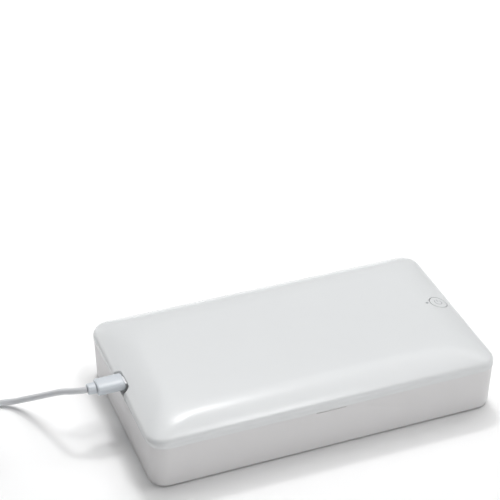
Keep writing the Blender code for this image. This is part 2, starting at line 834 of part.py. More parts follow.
def pad_pocket():
    """The pad is hollow, to make room for the interlock switch."""
    outer = -BODY_LENGTH / 2 + lip_inset(PAD_FLOOR) + LIP_THICKNESS
    _, inner, half = pad_edges()
    low = (outer, PAD_WALL - half, PAD_FLOOR)
    high = (inner - PAD_WALL, half - PAD_WALL, LID_BASE + FLANGE_THICKNESS + OVERRUN)
    return box("pad_pocket", low, high)


def lip_slot():
    """The lip stops short of the tray's boss."""
    half = LIP_SLOT_LENGTH / 2
    low = (-BODY_LENGTH / 2, -half, LID_BASE - LIP_DEPTH - OVERRUN)
    inner = -BODY_LENGTH / 2 + lip_inset(LID_BASE - LIP_DEPTH) + LIP_THICKNESS + OVERRUN
    return box("lip_slot", low, (inner, half, PAD_BOTTOM))


def notch_clearance():
    """The liner stays below and behind the walls of the notch."""
    outline = notch_outline(NOTCH_WALL + SEAT_GAP)
    return plate("notch_clearance", [outline], LID_BASE - SEAT_GAP, LID_BASE + FLANGE_THICKNESS + OVERRUN)


def pad_posts():
    """Posts in the pad that the board rests on, one round each screw."""
    posts = [cylinder("pad_post_%d" % index, POST_RADIUS, PAD_FLOOR - PAD_WALL / 2, BOARD_BOTTOM - SEAT_GAP,
                      x, y) for index, (x, y) in enumerate(pad_screw_places())]
    return merged("pad_posts", posts)


def board_screw_places():
    """Screws at the inner corners of the main board."""
    x = -BODY_LENGTH / 2 + BOARD_INSET + BOARD_LENGTH - BOARD_SCREW_MARGIN
    y = BOARD_WIDTH / 2 - BOARD_SCREW_MARGIN
    return [(x, -y), (x, y)]


def key_screw_places():
    x = BODY_LENGTH / 2 - KEY_BOARD_INSET - KEY_BOARD_LENGTH + BOARD_SCREW_MARGIN / 2
    y = KEY_BOARD_WIDTH / 2 - BOARD_SCREW_MARGIN / 2
    return [(x, -y), (x, y)]


def strip_screw_places():
    return [(-WINDOW_PITCH, 0), (0, 0), (WINDOW_PITCH, 0)]


def standing_posts():
    """Posts on the panel under the main board's screws."""
    posts = [cylinder("board_post_%d" % index, POST_RADIUS, PANEL_BOTTOM + PANEL_THICKNESS / 2,
                      BOARD_BOTTOM - SEAT_GAP, x, y) for index, (x, y) in enumerate(board_screw_places())]
    return merged("standing_posts", posts)


def screw_depth(seat):
    """Foot of a board screw whose head seats at a height."""
    return seat + SEAT_GAP - BOARD_SCREW_LENGTH


def liner_holes():
    """Pilot holes for the boards' screws, and stepped holes for the two in the pad."""
    tools = []
    radius = SCREW_RADIUS + SCREW_CLEARANCE
    groups = (
        (board_screw_places(), BOARD_TOP),
        (key_screw_places(), KEY_BOARD_TOP),
        (strip_screw_places(), strip_top()),
    )
    for group, (places, seat) in enumerate(groups):
        for index, (x, y) in enumerate(places):
            tools.append(cylinder("pilot_%d_%d" % (group, index), radius, screw_depth(seat) - SEAT_GAP / 2,
                                  seat, x, y, SMALL_SIDES))
    for index, (x, y) in enumerate(pad_screw_places()):
        shaft = [(radius, BOARD_BOTTOM), (radius, PAD_FLOOR), (pad_head_radius(), PAD_FLOOR),
                 (pad_head_radius(), PAD_BOTTOM - OVERRUN)]
        tools.append(turned("pad_screw_hole_%d" % index, shaft, Matrix.Translation((x, y, 0))))
    return merged("liner_holes", tools)


def pad_head_radius():
    return SCREW_HEAD_RADIUS + SCREW_CLEARANCE


def turned(name, profile, place):
    """A solid of revolution from radius and height pairs, which run from its top to its bottom."""
    mesh = bpy.data.meshes.new(name)
    points = [(0.0, profile[0][1]), *profile, (0.0, profile[-1][1])]
    edges = [(index, index + 1) for index in range(len(points) - 1)]
    mesh.from_pydata([(radius, 0, height) for radius, height in points], edges, [])
    item = bpy.data.objects.new(name, mesh)
    CUTTERS.objects.link(item)
    item.matrix_world = place
    step = item.modifiers.new("turn", "SCREW")
    step.steps = SMALL_SIDES
    step.render_steps = SMALL_SIDES
    step.use_merge_vertices = True
    step.merge_threshold = MERGE
    step.use_smooth_shade = False
    return item


def slot_and_windows():
    """The interlock's slot in the pad, and a window under each emitter."""
    half_length, half_width = SLOT_LENGTH / 2, SLOT_WIDTH / 2
    tools = [box("interlock_slot", (INTERLOCK_X - half_length, -half_width, PAD_BOTTOM - OVERRUN),
                 (INTERLOCK_X + half_length, half_width, PAD_FLOOR + SEAT_GAP))]
    half = WINDOW_SIZE / 2
    for index, x in enumerate(emitter_places()):
        tools.append(box("window_%d" % index, (x - half, -half, PANEL_BOTTOM - OVERRUN),
                         (x + half, half, PANEL_TOP + OVERRUN)))
    return merged("slot_and_windows", tools)


def emitter_places():
    return [(index - (EMITTERS - 1) / 2) * WINDOW_PITCH for index in range(EMITTERS)]


def friction_ribs():
    """Short raised ribs on the lip's long sides, which hold the lid in the tray."""
    tools = []
    height = LID_BASE - RIB_DROP
    face = BODY_WIDTH / 2 - lip_inset(height)
    for side in (-1, 1):
        for index in range(RIBS_A_SIDE):
            x = (index - (RIBS_A_SIDE - 1) / 2) * RIB_PITCH
            near = side * (face - LIP_THICKNESS / 2)
            far = side * (face + RIB_PROUD)
            tools.append(box("rib_%d_%d" % (side + 1, index),
                             (x - RIB_LENGTH / 2, min(near, far), height - RIB_HEIGHT / 2),
                             (x + RIB_LENGTH / 2, max(near, far), height + RIB_HEIGHT / 2)))
    return merged("friction_ribs", tools)


# Emitters


def strip_bottom():
    return PANEL_TOP + SEAT_GAP


def strip_top():
    return strip_bottom() + STRIP_THICKNESS


def make_emitters():
    outline = fillet(rectangle(-STRIP_REACH, -STRIP_WIDTH / 2, STRIP_REACH, STRIP_WIDTH / 2), BOARD_CORNER)
    holes = [circle(x, y, SCREW_RADIUS + SCREW_CLEARANCE) for x, y in strip_screw_places()]
    strip = plate("emitter_strip", [outline] + holes, strip_bottom(), strip_top())
    show(strip, BOARD_WHITE, 0.5)
    size = WINDOW_SIZE / 2 - EMITTER_CLEARANCE
    top = strip_bottom() - SEAT_GAP
    for index, x in enumerate(emitter_places(), 1):
        base = box("uv_emitter_%d" % index, (x - size, -size, top - EMITTER_THICKNESS),
                   (x + size, size, top))
        half_die = EMITTER_DIE / 2
        low = top - EMITTER_THICKNESS - EMITTER_DIE_RISE
        add(base, box("emitter_die_%d" % index, (x - half_die, -half_die, low),
                      (x + half_die, half_die, top - EMITTER_THICKNESS / 2)))
        show(base, CERAMIC, 0.4)


# Socket, interlock switch and main board


def hollow_block(name, width, height, length, wall, depth, corner, place):
    """A rounded block along its frame's Z, hollowed from the far end to a depth."""
    body = plate(name, [block_outline(width, height, corner)], 0, length, place)
    outline = block_outline(width - 2 * wall, height - 2 * wall, corner - wall)
    cut(body, plate(name + "_room", [outline], length - depth, length + OVERRUN, place))
    return body


def block_outline(width, height, corner):
    return fillet(rectangle(-width / 2, -height / 2, width / 2, height / 2), corner)


def make_socket():
    back = SOCKET_X + SOCKET_LENGTH
    place = along((back, 0, PORT_Z), (-1, 0, 0))
    shell = hollow_block("usb_socket_shell", SOCKET_WIDTH, SOCKET_HEIGHT, SOCKET_LENGTH, SOCKET_WALL,
                         SOCKET_LENGTH - SOCKET_BACK, NOSE_CORNER + SOCKET_FIT + SOCKET_WALL, place)
    show(shell, STEEL, 0.3, 1.0)
    root = back - SOCKET_BACK - SEAT_GAP
    half_width, half_height = TONGUE_WIDTH / 2, TONGUE_THICKNESS / 2
    tongue = box("usb_socket_tongue", (root - TONGUE_LENGTH, -half_width, PORT_Z - half_height),
                 (root, half_width, PORT_Z + half_height))
    show(tongue, BLACK, 0.5)


def make_interlock_switch():
    top = BOARD_BOTTOM - SEAT_GAP
    bottom = top - SWITCH_HEIGHT
    half_length, half_width = SWITCH_LENGTH / 2, SWITCH_WIDTH / 2
    body = box("interlock_switch", (INTERLOCK_X - half_length, -half_width, bottom),
               (INTERLOCK_X + half_length, half_width, top))
    reach, width = PLUNGER_LENGTH / 2, PLUNGER_WIDTH / 2
    cut(body, box("switch_bore", (INTERLOCK_X - reach - SWITCH_FIT, -width - SWITCH_FIT, bottom - OVERRUN),
                  (INTERLOCK_X + reach + SWITCH_FIT, width + SWITCH_FIT, top + OVERRUN)))
    show(body, BLACK, 0.5)
    plunger = box("interlock_plunger", (INTERLOCK_X - reach, -width, bottom - PLUNGER_PROUD),
                  (INTERLOCK_X + reach, width, top - PLUNGER_TRAVEL - SEAT_GAP))
    show(plunger, NYLON, 0.5)


def make_main_board():
    left = -BODY_LENGTH / 2 + BOARD_INSET
    right = left + BOARD_LENGTH
    half = BOARD_WIDTH / 2
    outline = fillet(rectangle(left, -half, right, half), BOARD_CORNER)
    radius = SCREW_RADIUS + SCREW_CLEARANCE
    holes = [circle(x, y, radius) for x, y in pad_screw_places() + board_screw_places()]
    board = plate("main_board", [outline] + holes, BOARD_BOTTOM, BOARD_TOP)
    show(board, BOARD_GREEN, 0.45)
    seat = BOARD_TOP + SEAT_GAP
    column = SOCKET_X + SOCKET_LENGTH + CHIP_SIZE
    chip = standing_box("control_chip", column, CHIP_Y, CHIP_SIZE, CHIP_SIZE, seat, CHIP_HEIGHT)
    show(chip, BLACK, 0.45)
    half_size = INDUCTOR_SIZE / 2
    outline = fillet(rectangle(column - half_size, INDUCTOR_Y - half_size, column + half_size,
                               INDUCTOR_Y + half_size), INDUCTOR_CORNER)
    coil = plate("boost_inductor", [outline], seat, seat + INDUCTOR_HEIGHT)
    show(coil, INDUCTOR_GREY, 0.6)
    for index in range(CAPACITORS):
        y = half - BOARD_SCREW_MARGIN - CAPACITOR_LENGTH / 2
        x = left + BOARD_SCREW_MARGIN + (index + 0.5) * CAPACITOR_PITCH
        show(standing_box("capacitor_%d" % (index + 1), x, y, CAPACITOR_WIDTH, CAPACITOR_LENGTH, seat,
                          CAPACITOR_HEIGHT), TAN, 0.5)
    for name, (x, y) in connector_places().items():
        housing = standing_box(name, x, y, CONNECTOR_LENGTH, CONNECTOR_WIDTH, seat, CONNECTOR_HEIGHT)
        show(housing, NYLON, 0.5)


def connector_places():
    x = -BODY_LENGTH / 2 + BOARD_INSET + BOARD_LENGTH - CONNECTOR_LENGTH / 2 - WIRE_PITCH
    return {"strip_connector": (x, -CONNECTOR_Y), "key_connector": (x, CONNECTOR_Y)}


def standing_box(name, x, y, length, width, seat, height):
    return box(name, (x - length / 2, y - width / 2, seat), (x + length / 2, y + width / 2, seat + height))


# Button, tactile switch and indicator


def make_button():
    ceiling = LID_BASE + BUTTON_CEILING_RISE
    flange_top = ceiling - SEAT_GAP
    flange_bottom = flange_top - BUTTON_FLANGE_THICKNESS
    cap = cylinder("power_button", BUTTON_RADIUS, flange_bottom, lid_top() + OVERRUN, BUTTON_X, BUTTON_Y)
    boolean(cap, lid_solid("button_crown"), "INTERSECT")
    reach = BUTTON_RADIUS + BUTTON_FLANGE
    add(cap, cylinder("button_flange", reach, flange_bottom, flange_top, BUTTON_X, BUTTON_Y))
    smooth(cap, math.radians(25.0))
    show(cap, WHITE_SHELL, 0.28)
    plunger_top = flange_bottom - SEAT_GAP
    body_top = plunger_top - TACT_PLUNGER_PROUD
    body_bottom = body_top - TACT_HEIGHT
    body = standing_box("tact_switch", BUTTON_X, BUTTON_Y, TACT_SIZE, TACT_SIZE, body_bottom, TACT_HEIGHT)
    bore = TACT_PLUNGER_RADIUS + TACT_FIT
    cut(body, cylinder("tact_bore", bore, body_bottom - OVERRUN, body_top + OVERRUN, BUTTON_X,
                       BUTTON_Y, SMALL_SIDES))
    show(body, STEEL, 0.35, 1.0)
    plunger = cylinder("tact_plunger", TACT_PLUNGER_RADIUS, body_bottom + SEAT_GAP, plunger_top,
                       BUTTON_X, BUTTON_Y, SMALL_SIDES)
    smooth(plunger)
    show(plunger, BLACK, 0.5)


def make_key_board():
    right = BODY_LENGTH / 2 - KEY_BOARD_INSET
    left = right - KEY_BOARD_LENGTH
    half = KEY_BOARD_WIDTH / 2
    outline = fillet(rectangle(left, -half, right, half), BOARD_CORNER / 2)
    holes = [circle(x, y, SCREW_RADIUS + SCREW_CLEARANCE) for x, y in key_screw_places()]
    show(plate("key_board", [outline] + holes, KEY_BOARD_BOTTOM, KEY_BOARD_TOP), BOARD_GREEN, 0.45)
    seat = KEY_BOARD_TOP + SEAT_GAP
    lamp = standing_box("indicator_lamp", PIPE_X, BUTTON_Y, LAMP_LENGTH, LAMP_WIDTH, seat, LAMP_HEIGHT)
    show(lamp, CLEAR, 0.3)
    low = seat + LAMP_HEIGHT + SEAT_GAP
    top = LID_BASE + crown_rise(PIPE_INSET + PIPE_RADIUS) - PIPE_CLEARANCE / 2
    under = LID_BASE + crown_rise(PIPE_INSET - PIPE_FLANGE_RADIUS) - COVER_WALL / math.cos(CROWN_ANGLE)
    flange_bottom = under - PIPE_FLANGE_THICKNESS
    pipe = turned("light_pipe", [(PIPE_RADIUS, top), (PIPE_RADIUS, under), (PIPE_FLANGE_RADIUS, under),
                                 (PIPE_FLANGE_RADIUS, flange_bottom), (PIPE_RADIUS, flange_bottom),
                                 (PIPE_RADIUS, low)], Matrix.Translation((PIPE_X, BUTTON_Y, 0)))
    show(pipe, CLEAR, 0.1)


# Fasteners and wires


def screw(name, x, y, seat, length, upwards=False):
    """A flat-headed screw whose head rests on a seat, with its shank through it."""
    way = -1 if upwards else 1
    head = seat + way * SEAT_GAP
    profile = [(SCREW_HEAD_RADIUS, head + way * SCREW_HEAD_HEIGHT), (SCREW_HEAD_RADIUS, head),
               (SCREW_RADIUS, head), (SCREW_RADIUS, head - way * length)]
    profile = profile[::-1] if upwards else profile
    return show(turned(name, profile, Matrix.Translation((x, y, 0))), STEEL, 0.35, 1.0)


def make_screws():
    for index, (x, y) in enumerate(pad_screw_places(), 1):
        screw("pad_screw_%d" % index, x, y, PAD_FLOOR, PAD_SCREW_LENGTH, True)
    groups = (
        ("main_board_screw", board_screw_places(), BOARD_TOP),
        ("key_board_screw", key_screw_places(), KEY_BOARD_TOP),
        ("strip_screw", strip_screw_places(), strip_top()),
    )
    for name, places, seat in groups:
        for index, (x, y) in enumerate(places, 1):
            screw("%s_%d" % (name, index), x, y, seat, BOARD_SCREW_LENGTH)


def make_wires():
    """Leads from the main board to the strip and, along the panel, to the key board."""
    places = connector_places()
    plug_z = BOARD_TOP + SEAT_GAP + CONNECTOR_HEIGHT / 2
    strip_z = strip_top() + SEAT_GAP + WIRE_RADIUS
    start_x, start_y = places["strip_connector"]
    x = start_x + CONNECTOR_LENGTH / 2 + SEAT_GAP
    end_x = -STRIP_REACH + WIRE_PITCH
    for index in range(STRIP_WIRES):
        offset = (index - (STRIP_WIRES - 1) / 2) * WIRE_PITCH
        slant = offset * SLANT_SHARE
        route = through([(x, start_y + offset, plug_z),
                         (x + WIRE_PITCH, start_y + offset, plug_z),
                         ((x + end_x) / 2 - slant, start_y / 2 + slant, (plug_z + strip_z) / 2),
                         (end_x, offset, strip_z),
                         (end_x + WIRE_PITCH, offset, strip_z)], WIRE_PITCH)
        show(tube("strip_wire_%d" % (index + 1), route, WIRE_RADIUS, 1), RED, 0.5)
    start_x, start_y = places["key_connector"]
    x = start_x + CONNECTOR_LENGTH / 2 + SEAT_GAP
    lane_z = PANEL_TOP + SEAT_GAP + WIRE_RADIUS
    key_left = BODY_LENGTH / 2 - KEY_BOARD_INSET - KEY_BOARD_LENGTH
    key_z = KEY_BOARD_TOP + SEAT_GAP + WIRE_RADIUS
    for index in range(KEY_WIRES):
        offset = (index - (KEY_WIRES - 1) / 2) * WIRE_PITCH
        slant = offset * SLANT_SHARE
        lane = WIRE_LANE + offset
        halfway_y = (start_y + WIRE_LANE) / 2 + slant
        first = through([(x, start_y + offset, plug_z),
                         (x + WIRE_PITCH, start_y + offset, plug_z),
                         (x + WIRE_SWERVE / 2 - slant, halfway_y, (plug_z + lane_z) / 2),
                         (x + WIRE_SWERVE, lane, lane_z)], 2 * WIRE_PITCH)
        last = through([(key_left - WIRE_SWERVE, lane, lane_z),
                        (key_left - WIRE_SWERVE / 2 + slant, WIRE_LANE / 2 + slant, (lane_z + key_z) / 2),
                        (key_left + WIRE_PITCH, offset, key_z),
                        (key_left + 2 * WIRE_PITCH, offset, key_z)], 2 * WIRE_PITCH)
        show(tube("key_wire_%d" % (index + 1), first + last, WIRE_RADIUS, 1), BLACK, 0.5)


# Plug in the socket


def make_plug():
    nose_place = along((PLUG_FACE_X + SEAT_GAP, 0, PORT_Z), (1, 0, 0))
    nose = hollow_block("usb_plug_nose", NOSE_WIDTH, NOSE_HEIGHT, NOSE_LENGTH, NOSE_WALL, NOSE_POCKET,
                        NOSE_CORNER, nose_place)
    show(nose, STEEL, 0.25, 1.0)
    body = soft_block("usb_plug_body", PLUG_WIDTH, PLUG_HEIGHT, PLUG_LENGTH, PLUG_CORNER, PLUG_EDGE,
                      along((PLUG_FACE_X, 0, PORT_Z), (-1, 0, 0)))
    show(body, PLUG_WHITE, 0.35)
    collar = soft_block("usb_plug_collar", COLLAR_WIDTH, COLLAR_HEIGHT, COLLAR_LENGTH,
                        COLLAR_CORNER, COLLAR_EDGE,
                        along((COLLAR_END_X + COLLAR_LENGTH, 0, PORT_Z), (-1, 0, 0)))
    show(collar, PLUG_WHITE, 0.4)


def soft_block(name, width, height, length, corner, edge, place):
    """A rounded block along its frame's Z, with rounded end edges."""
    item = plate(name, [block_outline(width, height, corner)], 0, length, place)
    rounding = item.modifiers.new("end_edges", "BEVEL")
    rounding.width = edge
    rounding.segments = EDGE_SEGMENTS
    rounding.limit_method = "ANGLE"
    rounding.angle_limit = math.radians(60.0)
    smooth(item)
    return item


# Lead, coil and far plug


def coil_route():
    """Spirals in on the lower layer and out on the upper, climbing where it reverses."""
    total = COIL_TURNS * 2 * math.pi
    count = round(COIL_TURNS * LOOP_STEPS)
    points = []
    for index in range(count + 1):
        swept = total * index / count
        inward = min(swept, total - swept)
        radius = COIL_OUTER - COIL_STEP * inward / (2 * math.pi)
        climb = (swept - total / 2) / math.pi + 0.5
        share = min(1.0, max(0.0, climb))
        height = COIL_Z + COIL_STEP * share
        angle = math.pi / 2 + swept
        points.append(Vector((COIL_CENTRE_X + radius * math.cos(angle),
                              COIL_CENTRE_Y + radius * math.sin(angle), height)))
    first, last = points[0], points[-1]
    lead_in = first + Vector((LEAD_DIAMETER, 0, 0))
    lead_out = last + Vector((0, -LEAD_DIAMETER, 0))
    return [lead_in] + points + [lead_out]


def least_gap(points, diameter):
    """Smallest gap between stretches of the coil that aren't neighbours along it."""
    apart = LOOP_STEPS // 2
    least = min((points[i] - points[j]).length for i in range(len(points))
                for j in range(i + apart, len(points)))
    return least - diameter


def route_length(points):
    return sum((b - a).length for a, b in zip(points, points[1:]))


def make_lead():
    coil = coil_route()
    start = Vector((COLLAR_END_X - SEAT_GAP, 0, PORT_Z))
    straight = start + Vector((-LEAD_DIAMETER / 2, 0, 0))
    end = coil[0] + Vector((SEAT_GAP, 0, 0))
    before = end + Vector((LEAD_DIAMETER, 0, 0))
    free = [start, *through([straight, *LEAD_ROUTE, before], LEAD_SPACING), end]
    show(tube("charge_lead", free, LEAD_DIAMETER / 2, 2), LEAD_WHITE, 0.45)
    show(tube("lead_coil", coil, LEAD_DIAMETER / 2, 1), LEAD_WHITE, 0.45)
    tail_start = coil[-1] + Vector((0, -SEAT_GAP, 0))
    low = SUPPLY_BODY_HEIGHT / 2
    tail_end = Vector((tail_start.x, tail_start.y - TAIL_LENGTH, low))
    level = Vector((0, -LEAD_DIAMETER, 0))
    tail = through([tail_start, tail_start + Vector((0, -TAIL_LEVEL, 0)), tail_end - level, tail_end],
                   TAIL_SPACING)
    show(tube("lead_tail", tail, LEAD_DIAMETER / 2, 2), LEAD_WHITE, 0.45)
    make_tie()
    make_supply_plug(tail_end + Vector((0, -SEAT_GAP, 0)))
    print("coil's least gap to itself, mm: %.2f" % (least_gap(coil[1:-1], LEAD_DIAMETER) * 1000))
    print("lead length, m: %.4f" % (route_length(free) + route_length(coil) + route_length(tail)))


def make_tie():
    """A thin band round the coil's turns, at one side."""
    half = LEAD_DIAMETER / 2
    bow = COIL_INNER - math.sqrt(COIL_INNER ** 2 - (TIE_WIDTH / 2) ** 2)
    near = COIL_INNER - half - bow - SEAT_GAP
    far = COIL_OUTER + half + SEAT_GAP
    low = COIL_Z - half - SEAT_GAP
    high = COIL_Z + COIL_STEP + half + SEAT_GAP
    inner = fillet(rectangle(near, low, far, high), TIE_CORNER)
    wall = TIE_THICKNESS
    outer = fillet(rectangle(near - wall, low - wall, far + wall, high + wall), TIE_CORNER + wall)
    radial = Vector((math.cos(TIE_ANGLE), math.sin(TIE_ANGLE), 0))
    up = Vector((0, 0, 1))
    turn = Matrix((radial, up, radial.cross(up))).transposed().to_4x4()
    place = Matrix.Translation((COIL_CENTRE_X, COIL_CENTRE_Y, 0)) @ turn
    show(plate("coil_tie", [outer, inner], -TIE_WIDTH / 2, TIE_WIDTH / 2, place), BLACK, 0.6)


def make_supply_plug(entry):
    """The plug at the supply end, lying beside the coil."""
    way = (0, -1, 0)
    forward = Vector(way)
    relief_rings = []
    for step in range(ARC_STEPS + 1):
        share = step / ARC_STEPS
        radius = SUPPLY_RELIEF_TIP + (SUPPLY_RELIEF_RADIUS - SUPPLY_RELIEF_TIP) * share
        height = SUPPLY_RELIEF_LENGTH * share
        relief_rings.append([(a, b, height) for a, b in circle(0, 0, radius, SMALL_SIDES)])
    relief = loft("supply_plug_relief", relief_rings, along(entry, way))
    smooth(relief)
    show(relief, PLUG_WHITE, 0.4)
    body_start = entry + forward * (SUPPLY_RELIEF_LENGTH + SEAT_GAP)
    body = soft_block("supply_plug_body", SUPPLY_BODY_WIDTH, SUPPLY_BODY_HEIGHT, SUPPLY_BODY_LENGTH,
                      SUPPLY_BODY_CORNER, PLUG_EDGE, along(body_start, way))
    show(body, PLUG_WHITE, 0.35)
    shell_start = body_start + forward * (SUPPLY_BODY_LENGTH + SEAT_GAP)
    pocket = SUPPLY_SHELL_LENGTH - SOCKET_BACK
    shell = hollow_block("supply_plug_shell", SUPPLY_SHELL_WIDTH, SUPPLY_SHELL_HEIGHT, SUPPLY_SHELL_LENGTH,
                         SUPPLY_SHELL_WALL, pocket, NOSE_CORNER, along(shell_start, way))
    show(shell, STEEL, 0.25, 1.0)
    wall = SUPPLY_SHELL_WALL + SEAT_GAP / 2
    half = SUPPLY_SHELL_WIDTH / 2 - wall
    low = -SUPPLY_SHELL_HEIGHT / 2 + wall
    outline = rectangle(-half, low, half, low + SUPPLY_TONGUE_HEIGHT)
    tongue = plate("supply_plug_tongue", [outline], SOCKET_BACK + SEAT_GAP, SUPPLY_SHELL_LENGTH - SEAT_GAP,
                   along(shell_start, way))
    show(tongue, TONGUE_WHITE, 0.4)


# Assembly


def carrier(name, place):
    """An empty on a joint's axis, which carries the pieces of one moving body."""
    item = bpy.data.objects.new(name, None)
    PARTS.objects.link(item)
    item.location = place
    return item


def attach(parent, names):
    """Makes pieces ride on a carrier, together with what cuts them."""
    bpy.context.view_layer.update()
    for name in names:
        item = bpy.data.objects[name]
        item.parent = parent
        item.matrix_parent_inverse = parent.matrix_world.inverted()
        attach(parent, [step.object.name for step in item.modifiers if step.type == "BOOLEAN"])


LID_NODES = (
    "lid_cover", "lid_liner", "emitter_strip", "main_board", "usb_socket_shell", "usb_socket_tongue",
    "interlock_switch", "control_chip", "boost_inductor", "strip_connector",
    "key_connector", "key_board", "tact_switch", "indicator_lamp", "light_pipe",
)
LID_GROUPS = ("uv_emitter_", "capacitor_", "pad_screw_", "main_board_screw_", "key_board_screw_",
              "strip_screw_", "strip_wire_", "key_wire_")
PLUG_NODES = ("usb_plug_nose", "usb_plug_body", "usb_plug_collar")


def assemble():
    lid = carrier("lid_carrier", (0, 0, LID_BASE))
    attach(lid, LID_NODES)
    attach(lid, [item.name for item in PARTS.objects if item.name.startswith(LID_GROUPS)])
    for name, nodes, place in (
        ("button_carrier", ("power_button",), (BUTTON_X, BUTTON_Y, LID_BASE)),
        ("tact_carrier", ("tact_plunger",), (BUTTON_X, BUTTON_Y, LID_BASE)),
        ("interlock_carrier", ("interlock_plunger",), (INTERLOCK_X, 0, LID_BASE)),
        ("plug_carrier", PLUG_NODES, (PLUG_FACE_X, 0, PORT_Z)),
    ):
        moving = carrier(name, place)
        bpy.context.view_layer.update()
        attach(moving, nodes)
        attach(lid, (name,))


make_tray()
make_feet()
make_cover()
make_liner()
make_emitters()
make_socket()
make_interlock_switch()
make_main_board()
make_button()
make_key_board()
make_screws()
make_wires()
make_plug()
make_lead()
assemble()
CUTTERS.hide_render = True
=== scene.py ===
import math

import bmesh
import bpy
from mathutils import Matrix, Vector


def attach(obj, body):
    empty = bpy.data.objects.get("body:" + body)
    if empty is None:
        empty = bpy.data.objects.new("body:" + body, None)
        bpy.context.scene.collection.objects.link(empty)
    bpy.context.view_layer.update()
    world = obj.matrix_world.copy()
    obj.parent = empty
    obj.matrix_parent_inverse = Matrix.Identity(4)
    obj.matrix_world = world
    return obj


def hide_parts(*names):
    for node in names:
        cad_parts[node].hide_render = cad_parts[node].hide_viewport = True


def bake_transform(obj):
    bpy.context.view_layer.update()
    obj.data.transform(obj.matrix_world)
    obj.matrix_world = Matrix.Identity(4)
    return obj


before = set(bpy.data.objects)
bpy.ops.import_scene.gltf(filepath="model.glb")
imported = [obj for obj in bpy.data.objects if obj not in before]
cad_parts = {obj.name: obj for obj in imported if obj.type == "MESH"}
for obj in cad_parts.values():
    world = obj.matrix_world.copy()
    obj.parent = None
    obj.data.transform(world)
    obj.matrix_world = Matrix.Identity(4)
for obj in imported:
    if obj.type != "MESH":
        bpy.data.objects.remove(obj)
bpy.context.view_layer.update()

# Metres, +Z up, +X along the box away from its socket. These sizes are the part's own.
BODY_LENGTH, BODY_WIDTH, CORNER_RADIUS = 0.2000, 0.1120, 0.0105
TRAY_BASE, TRAY_RIM, LID_BASE = 0.0005, 0.02655, 0.02685
TRAY_FLOOR, TRAY_WALL, RIM_STEP = 0.0018, 0.0036, 0.0002
TRAY_DRAFT, INNER_DRAFT, TRAY_HEIGHT = 0.0008, 0.0014, 0.02605
BASE_FILLET, FLOOR_FILLET, RIM_ROUND = 0.0012, 0.0015, 0.00015
FINGER_LENGTH, FINGER_SLOPE, FINGER_DEPTH, FINGER_HEIGHT = 0.0200, 0.0020, 0.0004, 0.0008
EDGE_BAND, EDGE_RADIUS = 0.0017, 0.0034
CROWN_ANGLE, CROWN_WIDTH, CROWN_CORNER_SHARE = math.radians(29.0), 0.0190, 0.6
COVER_WALL, SEAT_GAP = 0.0020, 0.0003
LIP_INSET, LIP_DEPTH, LIP_THICKNESS, LIP_ROUND = 0.0042, 0.0067, 0.0016, 0.0004
FLANGE_INSET, FLANGE_THICKNESS, FLANGE_STEP = 0.0023, 0.0015, 0.0005
PANEL_BOTTOM, PANEL_TOP, PAD_BOTTOM, PAD_FLOOR = 0.02595, 0.02745, 0.0246, 0.0256
PORT_Z, NOTCH_FACE_X, SOCKET_X = 0.03115, -0.0962, -0.0947
NOTCH_LENGTH, NOTCH_FLOOR_LENGTH, NOTCH_CORNER, NOTCH_WALL = 0.0196, 0.0150, 0.0024, 0.0012
BUTTON_X, BUTTON_Y, BUTTON_RADIUS, PIPE_X, PIPE_RADIUS = 0.0904, 0.0012, 0.0050, 0.0833, 0.0006
INTERLOCK_X, WINDOW_PITCH, WINDOW_SIZE = -0.0914, 0.0364, 0.0036
PLUG_FACE_X, COLLAR_END_X = -0.0973, -0.1173
LEAD_DIAMETER = 0.0034
LEFT_END = -BODY_LENGTH / 2

# What several pieces share: the pad's screws, how far a cutter runs past a face, the gap welded shut,
# and the angles in degrees up to which edges are shaded smooth
SCREW_REACH, THREAD_RADIUS, SCREW_SIDES = 0.0056, 0.00075, 24
PAST, WELD = 0.001, 0.0000005
SMOOTH_SMALL, SMOOTH_SHELL, SMOOTH_PLUG, SMOOTH_LEAD = 35.0, 32.0, 50.0, 60.0


def link(name, data):
    item = bpy.data.objects.new(name, data)
    bpy.context.scene.collection.objects.link(item)
    return item


# Camera


def make_camera():
    """The photograph's place: azimuth, elevation, roll, distance, and the point looked at."""
    azimuth, elevation, roll = (math.radians(a) for a in (-21.288, 33.976, 0.388))
    target, distance = Vector((0.018706, 0.112182, 0.0175)), 1.014131
    back = Vector((math.sin(azimuth) * math.cos(elevation), -math.cos(azimuth) * math.cos(elevation),
                   math.sin(elevation)))
    right = Vector((math.cos(azimuth), math.sin(azimuth), 0))
    up = back.cross(right)
    across = right * math.cos(roll) + up * math.sin(roll)
    upward = up * math.cos(roll) - right * math.sin(roll)
    data = bpy.data.cameras.new("camera")
    data.lens = 119.18
    data.sensor_width = 36.0
    data.clip_start, data.clip_end = 0.05, 20.0
    camera = link("camera", data)
    place = Matrix((across, upward, back)).transposed().to_4x4()
    place.translation = target + back * distance
    camera.matrix_world = place
    bpy.context.scene.camera = camera


make_camera()


# Shapes


def loft(name, rings, place=None):
    """A closed body through rings of equal count, capped at both ends."""
    bm = bmesh.new()
    loops = [[bm.verts.new(point) for point in ring] for ring in rings]
    count = len(loops[0])
    for lower, upper in zip(loops, loops[1:]):
        for index in range(count):
            after = (index + 1) % count
            bm.faces.new((lower[index], lower[after], upper[after], upper[index]))
    bm.faces.new(loops[0])
    bm.faces.new(loops[-1])
    bmesh.ops.remove_doubles(bm, verts=bm.verts, dist=WELD)
    bmesh.ops.recalc_face_normals(bm, faces=bm.faces)
    mesh = bpy.data.meshes.new(name)
    bm.to_mesh(mesh)
    bm.free()
    if place is not None:
        mesh.transform(place)
    return link(name, mesh)


